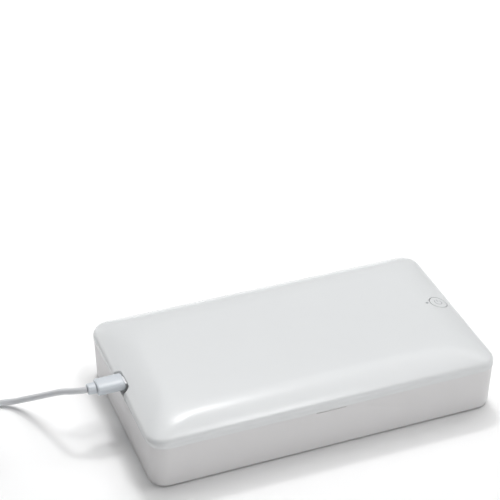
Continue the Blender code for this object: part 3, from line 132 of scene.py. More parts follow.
def box(name, low, high):
    low, high = Vector(low), Vector(high)
    rings = [[(low.x, low.y, z), (high.x, low.y, z), (high.x, high.y, z), (low.x, high.y, z)]
             for z in (low.z, high.z)]
    return loft(name, rings)


def ring_at(x, y, radius, z, sides=48):
    turn = 2 * math.pi / sides
    return [(x + radius * math.cos(turn * k), y + radius * math.sin(turn * k), z) for k in range(sides)]


def flat_ring(x, y, radius, sides):
    return [Vector(point[:2]) for point in ring_at(x, y, radius, 0, sides)]


def drum(name, radius, low, high, x, y, sides=48):
    return loft(name, [ring_at(x, y, radius, z, sides) for z in (low, high)])


def rounded_ring(length, width, radius, height, steps=14):
    radius = min(radius, length / 2, width / 2)
    points = []
    for quarter in range(4):
        side_x = 1 if quarter in (0, 3) else -1
        side_y = 1 if quarter in (0, 1) else -1
        for step in range(steps + 1):
            angle = (quarter + step / steps) * math.pi / 2
            points.append((side_x * (length / 2 - radius) + radius * math.cos(angle),
                           side_y * (width / 2 - radius) + radius * math.sin(angle), height))
    return points


def body_ring(inset, height, radius):
    least = 0.0004
    return rounded_ring(BODY_LENGTH - 2 * inset, BODY_WIDTH - 2 * inset, max(radius, least), height)


def quarter(steps=8):
    """Cosine and sine over a quarter turn, for rounded edges."""
    angles = [k * math.pi / 2 / steps for k in range(steps + 1)]
    return [(math.cos(angle), math.sin(angle)) for angle in angles]


def fillet(corners, radii, steps=8):
    """A polygon's outline with its corners rounded."""
    points = []
    count = len(corners)
    for index, corner in enumerate(corners):
        here = Vector(corner)
        radius = radii[index] if isinstance(radii, tuple) else radii
        if not radius:
            points.append(here)
            continue
        before = (Vector(corners[index - 1]) - here).normalized()
        after = (Vector(corners[(index + 1) % count]) - here).normalized()
        half = before.angle(after) / 2
        reach = radius / math.tan(half)
        centre = here + (before + after).normalized() * radius / math.sin(half)
        start = (here + before * reach - centre).normalized()
        end = (here + after * reach - centre).normalized()
        for step in range(steps + 1):
            points.append(centre + start.slerp(end, step / steps) * radius)
    return points


def rectangle(low_x, low_y, high_x, high_y):
    return ((low_x, low_y), (high_x, low_y), (high_x, high_y), (low_x, high_y))


def grown(outline, distance):
    """A counter-clockwise outline moved outwards."""
    out = []
    count = len(outline)
    for index in range(count):
        here = Vector(outline[index][:2])
        before = (here - Vector(outline[index - 1][:2])).normalized()
        after = (Vector(outline[(index + 1) % count][:2]) - here).normalized()
        way = (before + after).normalized()
        out.append(here + Vector((way.y, -way.x)) * distance)
    return out


def soft_plate(name, outline, low, high, edge=0.0, place=None, under=True):
    """A plate with rounded upper edges, and lower ones too where they aren't seated."""
    rings = []
    if edge and under:
        for cosine, sine in quarter(4):
            rings.append([(*p, low + edge * (1 - cosine)) for p in grown(outline, edge * (sine - 1))])
    else:
        rings.append([(*Vector(p[:2]), low) for p in outline])
    if edge:
        for cosine, sine in quarter(4):
            rings.append([(*p, high - edge * (1 - sine)) for p in grown(outline, edge * (cosine - 1))])
    else:
        rings.append([(*Vector(p[:2]), high) for p in outline])
    return loft(name, rings, place)


def carve(item, operation, *tools):
    """Boolean steps, applied, after which the tools go."""
    for tool in tools:
        step = item.modifiers.new(tool.name, "BOOLEAN")
        step.operation = operation
        step.solver = "EXACT"
        step.object = tool
    bpy.context.view_layer.update()
    graph = bpy.context.evaluated_depsgraph_get()
    mesh = bpy.data.meshes.new_from_object(item.evaluated_get(graph))
    item.modifiers.clear()
    item.data = mesh
    for tool in tools:
        bpy.data.objects.remove(tool, do_unlink=True)


def smooth(item, angle=SMOOTH_SMALL):
    item.data.shade_smooth()
    item.data.set_sharp_from_angle(angle=math.radians(angle))


def along(origin, direction):
    """A place whose Z points along a level direction."""
    forward = Vector(direction).normalized()
    up = Vector((0, 0, 1))
    turn = Matrix((up.cross(forward), up, forward)).transposed().to_4x4()
    return Matrix.Translation(Vector(origin)) @ turn


def through(points, spacing):
    """Even points on a smooth curve through the given ones."""
    points = [Vector(point) for point in points]
    padded = [2 * points[0] - points[1]] + points + [2 * points[-1] - points[-2]]
    fine = []
    pieces = 24
    for index in range(1, len(padded) - 2):
        a, b, c, d = padded[index - 1:index + 3]
        for step in range(pieces):
            t = step / pieces
            fine.append(0.5 * (2 * b + (c - a) * t + (2 * a - 5 * b + 4 * c - d) * t * t
                               + (3 * b - 3 * c + d - a) * t * t * t))
    fine.append(points[-1])
    lengths = [0.0]
    for first, second in zip(fine, fine[1:]):
        lengths.append(lengths[-1] + (second - first).length)
    count = max(2, round(lengths[-1] / spacing))
    out = []
    index = 0
    for step in range(count + 1):
        want = lengths[-1] * step / count
        while index < len(lengths) - 2 and lengths[index + 1] < want:
            index += 1
        span = lengths[index + 1] - lengths[index]
        out.append(fine[index].lerp(fine[index + 1], (want - lengths[index]) / span if span else 0.0))
    return out


def tube_rings(path, radius):
    """The rings of a round tube along a path, its section carried on without twist."""
    sides = 20
    turns = [2 * math.pi * k / sides for k in range(sides)]
    rings = []
    side = None
    for index, point in enumerate(path):
        before, after = path[max(index - 1, 0)], path[min(index + 1, len(path) - 1)]
        way = (after - before).normalized()
        side = Vector((0, 0, 1)).cross(way) if side is None else side - way * side.dot(way)
        side.normalize()
        other = way.cross(side)
        rings.append([point + radius * (side * math.cos(turn) + other * math.sin(turn)) for turn in turns])
    return rings


# Lead: the free stretch, the coil put away beside the box, and the tail to the supply plug

LEAD_ROUTE = (
    (-0.1215, 0.0006, 0.0309), (-0.1250, 0.0038, 0.0292), (-0.1278, 0.0087, 0.0262),
    (-0.1314, 0.0145, 0.0219), (-0.1356, 0.0209, 0.0168), (-0.1399, 0.0270, 0.0119),
    (-0.1443, 0.0326, 0.0075), (-0.1491, 0.0370, 0.0041), (-0.1541, 0.0400, 0.0024),
    (-0.1600, 0.0414, 0.0019), (-0.1700, 0.0416, 0.0019), (-0.1800, 0.0415, 0.0023),
)
COIL_X, COIL_Y, COIL_Z, COIL_MEAN, COIL_STEP, COIL_TURNS = -0.1970, 0.0155, 0.0026, 0.0188, 0.0039, 7.25
TAIL_LENGTH, TAIL_LEVEL, SUPPLY_Z = 0.0290, 0.0110, 0.0040
LEAD_SPLIT_X = -0.1372
COIL_STEPS_PER_TURN = 24
ROUTE_SPACING, TAIL_SPACING, PATH_SPACING = 0.0068, 0.0050, 0.0020


def lead_path():
    """The lead's centreline: down from the plug, into a coil of two layers, and out to the supply plug."""
    total = COIL_TURNS * 2 * math.pi
    outer = COIL_MEAN + COIL_STEP * COIL_TURNS / 4
    count = round(COIL_TURNS * COIL_STEPS_PER_TURN)
    coil = []
    for index in range(count + 1):
        swept = total * index / count
        radius = outer - COIL_STEP * min(swept, total - swept) / (2 * math.pi)
        share = min(1.0, max(0.0, (swept - total / 2) / math.pi + 0.5))
        angle = math.pi / 2 + swept
        coil.append(Vector((COIL_X + radius * math.cos(angle), COIL_Y + radius * math.sin(angle),
                            COIL_Z + COIL_STEP * share)))
    start = Vector((COLLAR_END_X - SEAT_GAP, 0, PORT_Z))
    lead_in = coil[0] + Vector((LEAD_DIAMETER, 0, 0))
    before = lead_in + Vector((SEAT_GAP + LEAD_DIAMETER, 0, 0))
    free = [start, *through([start - Vector((LEAD_DIAMETER / 2, 0, 0)), *LEAD_ROUTE, before],
                            ROUTE_SPACING)]
    tail_start = coil[-1] + Vector((0, -LEAD_DIAMETER - SEAT_GAP, 0))
    tail_end = Vector((tail_start.x, tail_start.y - TAIL_LENGTH, SUPPLY_Z))
    tail = through([tail_start, tail_start + Vector((0, -TAIL_LEVEL, 0)),
                    tail_end + Vector((0, LEAD_DIAMETER, 0)), tail_end], TAIL_SPACING)
    return through([*free, lead_in, *coil, *tail], PATH_SPACING)


path = lead_path()
lead_rings = tube_rings(path, LEAD_DIAMETER / 2)
split = next(k for k, point in enumerate(path) if point.x < LEAD_SPLIT_X)
lead_near = loft("lead_near", lead_rings[:split + 1])
lead = loft("lead", lead_rings[split:])
smooth(lead_near, SMOOTH_LEAD)
smooth(lead, SMOOTH_LEAD)


# Materials

BUILT = {}


def node(tree, kind, **values):
    made = tree.nodes.new(kind)
    for name, value in values.items():
        if hasattr(made, name) and name not in made.inputs:
            setattr(made, name, value)
        else:
            made.inputs[name].default_value = value
    return made


def blank(name, roughness, metallic=0.0, ior=1.48, shine=0.5, sheen=0.0, clear=0.0):
    made = bpy.data.materials.new(name)
    made.use_nodes = True
    shader = made.node_tree.nodes["Principled BSDF"]
    shader.inputs["Roughness"].default_value = roughness
    shader.inputs["Metallic"].default_value = metallic
    shader.inputs["IOR"].default_value = ior
    shader.inputs["Specular IOR Level"].default_value = shine
    shader.inputs["Sheen Weight"].default_value = sheen
    shader.inputs["Transmission Weight"].default_value = clear
    BUILT[name] = made
    return made.node_tree, shader


def surface(name, colour, roughness, grain, size, mottle, spread=0.05, stretch=(1, 1, 1), wave=0.0, **more):
    """A moulded or drawn surface: fine grain in the bump, slow drift in colour and gloss."""
    patch = 0.025
    tree, shader = blank(name, roughness, **more)
    place = node(tree, "ShaderNodeTexCoord")
    scale = node(tree, "ShaderNodeMapping", Scale=stretch)
    tree.links.new(place.outputs["Object"], scale.inputs["Vector"])
    slow = node(tree, "ShaderNodeTexNoise", Scale=1 / patch, Detail=3.0, Roughness=0.55)
    fine = node(tree, "ShaderNodeTexNoise", Scale=1 / size, Detail=4.0, Roughness=0.6)
    for texture in (slow, fine):
        tree.links.new(scale.outputs["Vector"], texture.inputs["Vector"])
    ramp = node(tree, "ShaderNodeValToRGB")
    for element, way in zip(ramp.color_ramp.elements, (-1, 1)):
        element.position = 0.5 + 0.22 * way
        element.color = (*(min(1.0, c * (1 + mottle * way)) for c in colour), 1.0)
    tree.links.new(slow.outputs["Fac"], ramp.inputs["Fac"])
    tree.links.new(ramp.outputs["Color"], shader.inputs["Base Color"])
    both = node(tree, "ShaderNodeMath", operation="ADD")
    tree.links.new(slow.outputs["Fac"], both.inputs[0])
    tree.links.new(fine.outputs["Fac"], both.inputs[1])
    gloss = node(tree, "ShaderNodeMapRange")
    gloss.inputs["From Min"].default_value = 0.7
    gloss.inputs["From Max"].default_value = 1.3
    gloss.inputs["To Min"].default_value = roughness - spread
    gloss.inputs["To Max"].default_value = roughness + spread
    tree.links.new(both.outputs["Value"], gloss.inputs["Value"])
    tree.links.new(gloss.outputs["Result"], shader.inputs["Roughness"])
    relief = node(tree, "ShaderNodeBump", Strength=1.0, Distance=grain)
    tree.links.new(fine.outputs["Fac"], relief.inputs["Height"])
    if wave:
        swell = node(tree, "ShaderNodeBump", Strength=1.0, Distance=wave)
        tree.links.new(slow.outputs["Fac"], swell.inputs["Height"])
        tree.links.new(swell.outputs["Normal"], relief.inputs["Normal"])
    tree.links.new(relief.outputs["Normal"], shader.inputs["Normal"])


def board(name, colour, track, pad):
    """A printed circuit: solder mask over tracks, with plated holes."""
    tree, shader = blank(name, 0.42, ior=1.5)
    place = node(tree, "ShaderNodeTexCoord")
    tracks = node(tree, "ShaderNodeTexBrick", Scale=420.0)
    tracks.inputs["Color1"].default_value = (*colour, 1)
    tracks.inputs["Color2"].default_value = (*(c * 0.86 for c in colour), 1)
    tracks.inputs["Mortar"].default_value = (*track, 1)
    tracks.inputs["Mortar Size"].default_value = 0.035
    tracks.offset = 0.37
    holes = node(tree, "ShaderNodeTexVoronoi", Scale=430.0, Randomness=0.85)
    ring = node(tree, "ShaderNodeMath", operation="LESS_THAN")
    ring.inputs[1].default_value = 0.16
    mix = node(tree, "ShaderNodeMix", data_type="RGBA")
    tree.links.new(place.outputs["Object"], tracks.inputs["Vector"])
    tree.links.new(place.outputs["Object"], holes.inputs["Vector"])
    tree.links.new(holes.outputs["Distance"], ring.inputs[0])
    tree.links.new(ring.outputs["Value"], mix.inputs["Factor"])
    tree.links.new(tracks.outputs["Color"], mix.inputs["A"])
    mix.inputs["B"].default_value = (*pad, 1)
    tree.links.new(mix.outputs["Result"], shader.inputs["Base Color"])
    relief = node(tree, "ShaderNodeBump", Strength=0.6, Distance=0.00004)
    tree.links.new(tracks.outputs["Fac"], relief.inputs["Height"])
    tree.links.new(relief.outputs["Normal"], shader.inputs["Normal"])


surface("shell_white", (0.655, 0.667, 0.673), 0.22, grain=0.000012, size=0.00035, mottle=0.004,
        spread=0.015, wave=0.000003, shine=0.28)
surface("tray_white", (0.62, 0.612, 0.615), 0.36, grain=0.000014, size=0.00035, mottle=0.01, wave=0.000012)
surface("liner_white", (0.78, 0.795, 0.81), 0.34, grain=0.000010, size=0.00035, mottle=0.008, wave=0.00001)
surface("foot_rubber", (0.26, 0.26, 0.27), 0.82, grain=0.00005, size=0.0006, mottle=0.08, sheen=0.15)
surface("plug_plastic", (0.57, 0.605, 0.64), 0.38, grain=0.000012, size=0.0003, mottle=0.012)
surface("lead_jacket", (0.56, 0.57, 0.59), 0.46, grain=0.00003, size=0.0007, mottle=0.04, sheen=0.1)
surface("bright_steel", (0.50, 0.50, 0.51), 0.38, grain=0.00001, size=0.0002, mottle=0.05, metallic=1.0,
        stretch=(1, 9, 9))
surface("screw_steel", (0.60, 0.60, 0.61), 0.32, grain=0.00002, size=0.0002, mottle=0.08, metallic=1.0)
surface("black_plastic", (0.018, 0.018, 0.02), 0.5, grain=0.00004, size=0.0003, mottle=0.2)
surface("nylon", (0.72, 0.69, 0.60), 0.46, grain=0.00003, size=0.0004, mottle=0.04)
surface("ceramic", (0.78, 0.76, 0.70), 0.38, grain=0.00001, size=0.0002, mottle=0.03)
surface("gold", (0.83, 0.60, 0.24), 0.28, grain=0.00001, size=0.0002, mottle=0.06, metallic=1.0)
surface("die", (0.10, 0.09, 0.14), 0.16, grain=0.000004, size=0.0001, mottle=0.2)
surface("capacitor_tan", (0.36, 0.24, 0.14), 0.45, grain=0.00002, size=0.0002, mottle=0.12)
surface("inductor_grey", (0.10, 0.10, 0.11), 0.6, grain=0.00006, size=0.0003, mottle=0.2)
surface("clear_plastic", (0.80, 0.84, 0.86), 0.12, grain=0.000004, size=0.0003, mottle=0.02, clear=0.5)
surface("wire_red", (0.45, 0.03, 0.02), 0.42, grain=0.00002, size=0.0004, mottle=0.08)
surface("wire_black", (0.02, 0.02, 0.022), 0.42, grain=0.00002, size=0.0004, mottle=0.2)
surface("tie_black", (0.02, 0.02, 0.022), 0.62, grain=0.00006, size=0.0005, mottle=0.25, sheen=0.3,
        stretch=(1, 1, 4))
surface("mark_grey", (0.27, 0.28, 0.30), 0.5, grain=0.00001, size=0.0002, mottle=0.04)
board("board_green", (0.02, 0.14, 0.06), (0.05, 0.26, 0.11), (0.72, 0.60, 0.32))
board("board_white", (0.70, 0.72, 0.71), (0.62, 0.62, 0.58), (0.70, 0.62, 0.42))


def dress(item, body, slot, *replaced, paint=None):
    """Gives a new piece its material, body, slot and the solids it stands for."""
    item.data.materials.clear()
    item.data.materials.append(BUILT[paint or slot])
    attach(item, body)
    if replaced:
        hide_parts(*replaced)


# Lid cover

COVER_FOOT_DROP, COVER_FOOT_ROUND = 0.0002, 0.0001
NOTCH_MOUTH, NOTCH_EDGE, BUTTON_EDGE, PIPE_EDGE = 0.0005, 0.0003, 0.00022, 0.00012
BUTTON_CLEARANCE, PIPE_CLEARANCE, BUTTON_ROOM, BUTTON_CEILING = 0.0003, 0.0002, 0.0010, 0.0044
COVER_BOSS_RADIUS, COVER_BOSS_LOW, COVER_PILOT_TOP = 0.0014, 0.0298, 0.0311
SOCKET_ROOM_LENGTH, SOCKET_ROOM_HALF, SOCKET_ROOM_RISE = 0.0053, 0.0042, 0.0018
PORT_HALF_WIDTH, PORT_HALF_HEIGHT = 0.003625, 0.0011


def crown_centre():
    """Inset and height, above the lid's lower edge, of the point that the crown is drawn about."""
    turn = math.pi / 2 - CROWN_ANGLE
    crown = CROWN_WIDTH / math.sin(CROWN_ANGLE)
    return (EDGE_RADIUS * (1 - math.cos(turn)) + CROWN_WIDTH,
            EDGE_BAND + EDGE_RADIUS * math.sin(turn) - crown * math.cos(CROWN_ANGLE))


def rise_at(inset):
    """Height of the lid's surface above its lower edge, at an inset from a straight side."""
    edge = EDGE_RADIUS * (1 - math.sin(CROWN_ANGLE))
    if inset <= 0:
        return EDGE_BAND
    if inset < edge:
        return EDGE_BAND + math.sqrt(EDGE_RADIUS ** 2 - (EDGE_RADIUS - inset) ** 2)
    centre_inset, centre_height = crown_centre()
    crown = CROWN_WIDTH / math.sin(CROWN_ANGLE)
    return centre_height + math.sqrt(crown ** 2 - max(0.0, centre_inset - inset) ** 2)


def lid_height(x):
    return LID_BASE + rise_at(BODY_LENGTH / 2 - abs(x))


LID_TOP = LID_BASE + rise_at(BODY_WIDTH / 2)


def lid_profile(offset, arc_steps, crown_steps):
    """Inset and height of points up the lid's section, on a surface at an offset inside the outer one."""
    points = [(offset, 0.0), (offset, EDGE_BAND)]
    turn = math.pi / 2 - CROWN_ANGLE
    bend = EDGE_RADIUS - offset
    for step in range(1, arc_steps + 1):
        angle = turn * step / arc_steps
        points.append((EDGE_RADIUS - bend * math.cos(angle), EDGE_BAND + bend * math.sin(angle)))
    crown = CROWN_WIDTH / math.sin(CROWN_ANGLE)
    centre_inset, centre_height = crown_centre()
    for step in range(1, crown_steps + 1):
        slope = CROWN_ANGLE * (1 - step / crown_steps)
        reach = crown - offset
        points.append((centre_inset - reach * math.sin(slope), centre_height + reach * math.cos(slope)))
    return points


def lid_solid(name, base, offset=0.0, arc_steps=10, crown_steps=16, round_foot=0.0):
    """The lid's domed body, or one that lies at an offset inside it."""
    outer = lid_profile(0.0, arc_steps, crown_steps)
    inner = lid_profile(offset, arc_steps, crown_steps)
    edge = EDGE_RADIUS * (1 - math.sin(CROWN_ANGLE))
    rings = []
    if round_foot:
        for cosine, sine in quarter(4)[:-1]:
            height = base + round_foot * (1 - cosine)
            rings.append(body_ring(round_foot * (1 - sine), height, CORNER_RADIUS))
    for (inset, _), (place, height) in zip(outer, inner):
        radius = CORNER_RADIUS - min(inset, edge) + CROWN_CORNER_SHARE * max(0.0, inset - edge)
        rise = height if height > 0 else base - LID_BASE + round_foot
        rings.append(body_ring(place, LID_BASE + rise, radius - (place - inset)))
    return loft(name, rings)


def notch_outline(extra, mouth=0.0):
    """Plan of the notch, counter-clockwise, its mouth rounded where it meets the lid's side."""
    face = NOTCH_FACE_X + extra
    inner, outer = NOTCH_FLOOR_LENGTH / 2 + extra, NOTCH_LENGTH / 2 + extra
    past = PAST + extra
    if not mouth:
        far = outer + (outer - inner) / (NOTCH_FACE_X - LEFT_END) * past
        corners = ((face, -inner), (face, inner), (LEFT_END - past, far), (LEFT_END - past, -far))
        return fillet(corners, NOTCH_CORNER)
    clear, flare = 0.00003, 0.0014
    skin, wide = LEFT_END - clear, outer + flare
    corners = ((face, -inner), (face, inner), (skin, outer), (skin, wide), (LEFT_END - past, wide),
               (LEFT_END - past, -wide), (skin, -wide), (skin, -outer))
    radii = (NOTCH_CORNER, NOTCH_CORNER, mouth, 0.0, 0.0, 0.0, 0.0, mouth)
    return fillet(corners, radii)


def soft_tool(name, outline, low, edge, high):
    """A cutter whose mouth is rounded where it breaks through the lid's surface."""
    fade, least = 0.001, 0.02
    rings = [[(p[0], p[1], low) for p in outline]]
    for cosine, sine in quarter(5):
        ring = []
        for near, far in zip(outline, grown(outline, edge * (1 - cosine))):
            share = min(1.0, max(least, (BODY_LENGTH / 2 - abs(near[0])) / fade))
            point = Vector(near[:2]).lerp(far, share)
            ring.append((point.x, point.y, lid_height(point.x) - edge * (1 - sine) * share))
        rings.append(ring)
    rings.append([(p[0], p[1], high) for p in rings[-1]])
    return loft(name, rings)


def make_cover():
    low, high = LID_BASE - PAST, LID_TOP + PAST
    cover = lid_solid("lid_cover_shell", LID_BASE - COVER_FOOT_DROP, round_foot=COVER_FOOT_ROUND)
    cavity = lid_solid("cavity", low, COVER_WALL, arc_steps=6, crown_steps=8)
    walls = soft_plate("walls", notch_outline(NOTCH_WALL), LID_BASE - 2 * PAST, high)
    bosses = [drum("boss_%d" % k, COVER_BOSS_RADIUS, COVER_BOSS_LOW, LID_TOP, INTERLOCK_X, k * SCREW_REACH,
                   SCREW_SIDES) for k in (-1, 1)]
    carve(cavity, "DIFFERENCE", walls, *bosses)
    carve(cover, "DIFFERENCE", cavity)
    button_plan = flat_ring(BUTTON_X, BUTTON_Y, BUTTON_RADIUS + BUTTON_CLEARANCE, 72)
    pipe_plan = flat_ring(PIPE_X, BUTTON_Y, PIPE_RADIUS + PIPE_CLEARANCE, 32)
    tools = [
        soft_tool("notch", notch_outline(0.0, NOTCH_MOUTH), low, NOTCH_EDGE, high),
        soft_tool("button_hole", button_plan, LID_BASE, BUTTON_EDGE, high),
        soft_tool("pipe_hole", pipe_plan, LID_BASE, PIPE_EDGE, high),
        drum("button_room", BUTTON_RADIUS + BUTTON_ROOM, low, LID_BASE + BUTTON_CEILING, BUTTON_X,
             BUTTON_Y),
        box("socket_room", (NOTCH_FACE_X + NOTCH_WALL, -SOCKET_ROOM_HALF, low),
            (SOCKET_X + SOCKET_ROOM_LENGTH, SOCKET_ROOM_HALF, PORT_Z + SOCKET_ROOM_RISE)),
        box("port_hole", (NOTCH_FACE_X - PAST, -PORT_HALF_WIDTH, PORT_Z - PORT_HALF_HEIGHT),
            (NOTCH_FACE_X + NOTCH_WALL + PAST, PORT_HALF_WIDTH, PORT_Z + PORT_HALF_HEIGHT)),
    ]
    for k in (-1, 1):
        tools.append(drum("pilot_%d" % k, THREAD_RADIUS, LID_BASE, COVER_PILOT_TOP, INTERLOCK_X,
                          k * SCREW_REACH, SCREW_SIDES))
    carve(cover, "DIFFERENCE", *tools)
    smooth(cover, SMOOTH_SHELL)
    dress(cover, "lid", "shell_white", "lid_cover")


make_cover()


# Tray: its floor and walls, the boss that carries the interlock's pin, finger recesses and foot pockets

BOSS_END, BOSS_HALF, BOSS_CORNER, BOSS_TOP, BOSS_ROUND = 0.0095, 0.01, 0.0025, 0.0243, 0.0004
PIN_HALF_LENGTH, PIN_HALF_WIDTH, PIN_LOW, PIN_TOP = 0.0011, 0.0003, 0.0233, 0.0261
FINGER_CORNER, FINGER_ROUND = 0.0012, 0.0004
FOOT_INSET, FOOT_POCKET_RADIUS, FOOT_POCKET_TOP = 0.017, 0.0048, 0.0013


def tray_ring(inset, height):
    return body_ring(inset, height, CORNER_RADIUS - inset)


def outer_inset(height):
    return RIM_STEP + TRAY_DRAFT * (TRAY_RIM - height) / TRAY_HEIGHT


def inner_inset(height):
    return RIM_STEP + TRAY_WALL + INNER_DRAFT * (TRAY_RIM - height) / (TRAY_HEIGHT - TRAY_FLOOR)


def foot_place(a, b):
    return a * (BODY_LENGTH / 2 - FOOT_INSET), b * (BODY_WIDTH / 2 - FOOT_INSET)


def make_tray():
    rings = []
    floor = TRAY_BASE + TRAY_FLOOR
    for cosine, sine in quarter():
        height = floor + FLOOR_FILLET * (1 - cosine)
        rings.append(tray_ring(inner_inset(height) + FLOOR_FILLET * (1 - sine), height))
    for cosine, sine in quarter(5):
        height = TRAY_RIM - RIM_ROUND * (1 - sine)
        rings.append(tray_ring(inner_inset(height) - RIM_ROUND * (1 - cosine), height))
    for cosine, sine in reversed(quarter(5)):
        height = TRAY_RIM - RIM_ROUND * (1 - sine)
        rings.append(tray_ring(outer_inset(height) + RIM_ROUND * (1 - cosine), height))
    for cosine, sine in quarter():
        height = TRAY_BASE + BASE_FILLET * (1 - sine)
        rings.append(tray_ring(outer_inset(height) + BASE_FILLET * (1 - cosine), height))
    tray = loft("tray_body", rings)
    wall, end = LEFT_END + RIM_STEP + TRAY_WALL / 2, LEFT_END + BOSS_END
    outline = fillet(rectangle(wall, -BOSS_HALF, end, BOSS_HALF), (0.0, BOSS_CORNER, BOSS_CORNER, 0.0))
    boss = soft_plate("boss", outline, floor - TRAY_FLOOR / 2, BOSS_TOP, BOSS_ROUND, under=False)
    pin = box("pin", (INTERLOCK_X - PIN_HALF_LENGTH, -PIN_HALF_WIDTH, PIN_LOW),
              (INTERLOCK_X + PIN_HALF_LENGTH, PIN_HALF_WIDTH, PIN_TOP))
    carve(tray, "UNION", boss, pin)
    half = FINGER_LENGTH / 2
    for turn, reach in ((-90, BODY_WIDTH / 2), (90, BODY_WIDTH / 2), (0, BODY_LENGTH / 2)):
        face = reach - RIM_STEP
        depth = face - FINGER_DEPTH
        corners = ((depth, FINGER_SLOPE - half), (face + PAST, -half - FINGER_SLOPE),
                   (face + PAST, half + FINGER_SLOPE), (depth, half - FINGER_SLOPE))
        outline = fillet(corners, (FINGER_CORNER, 0.0, 0.0, FINGER_CORNER))
        rings = [[(p[0], p[1], TRAY_RIM - FINGER_HEIGHT + FINGER_ROUND * (1 - sine)) for p in
                  grown(outline, FINGER_ROUND * (cosine - 1))] for cosine, sine in reversed(quarter(4))]
        rings.append([(p[0], p[1], TRAY_RIM + PAST) for p in outline])
        tool = loft("finger_%d" % turn, rings, Matrix.Rotation(math.radians(turn), 4, "Z"))
        carve(tray, "DIFFERENCE", tool)
    tools = [drum("pocket_%d_%d" % (a, b), FOOT_POCKET_RADIUS, -PAST, FOOT_POCKET_TOP, *foot_place(a, b))
             for a in (-1, 1) for b in (-1, 1)]
    carve(tray, "DIFFERENCE", *tools)
    smooth(tray, SMOOTH_SHELL)
    dress(tray, "base", "tray_white", "tray_shell")


make_tray()


# Feet: pads with a rounded lower edge and a small bevel at the top

FOOT_RADIUS, FOOT_FACE_RADIUS, FOOT_EDGE, FOOT_EDGE_RISE = 0.0045, 0.0036, 0.0009, 0.0003
FOOT_SIDE_TOP, FOOT_TOP_RADIUS, FOOT_TOP = 0.0009, 0.0044, 0.0010


def make_feet():
    corners = (("front_left", -1, -1), ("front_right", 1, -1), ("back_left", -1, 1), ("back_right", 1, 1))
    for name, a, b in corners:
        x, y = foot_place(a, b)
        rings = [ring_at(x, y, FOOT_FACE_RADIUS + FOOT_EDGE * sine, FOOT_EDGE_RISE * (1 - cosine))
                 for cosine, sine in quarter(4)]
        rings.append(ring_at(x, y, FOOT_RADIUS, FOOT_SIDE_TOP))
        rings.append(ring_at(x, y, FOOT_TOP_RADIUS, FOOT_TOP))
        foot = loft("pad_" + name, rings)
        smooth(foot)
        dress(foot, "base", "foot_rubber", "foot_" + name)


make_feet()


# Liner: the panel with its flange and lip, the interlock's pad and screw posts, and the emitters' windows

PANEL_ROUND, WINDOW_ROUND = 0.0006, 0.0003
PAD_END, PAD_HALF, PAD_CORNER, PAD_ROUND, PAD_SINK = 0.0135, 0.009, 0.0022, 0.0004, 0.0007
PAD_ROOM_HALF, LIP_SLOT_HALF = 0.008, 0.0104
POST_RADIUS, POST_LOW, POST_TOP = 0.0018, 0.0251, 0.0282
PIN_SLOT_HALF_LENGTH, PIN_SLOT_HALF_WIDTH, PIN_SLOT_TOP = 0.0015, 0.0007, 0.0259
SCREW_LOW, HEAD_RADIUS, SHANK_LOW, SHANK_TOP = 0.023, 0.00125, 0.025, 0.029
RIB_PITCH, RIB_LENGTH, RIB_DROP, RIB_ROOT = 0.0385, 0.010, 0.0012, 0.0008
RIB_HALF, RIB_PROUD, RIB_END_HALF, RIB_END_SINK = 0.0003, 0.0001, 0.00012, 0.0002


def lip_inset(height):
    return LIP_INSET + INNER_DRAFT * (TRAY_RIM - min(height, TRAY_RIM)) / (TRAY_HEIGHT - TRAY_FLOOR)


def emitter_places():
    return [(index - 1.5) * WINDOW_PITCH for index in range(4)]


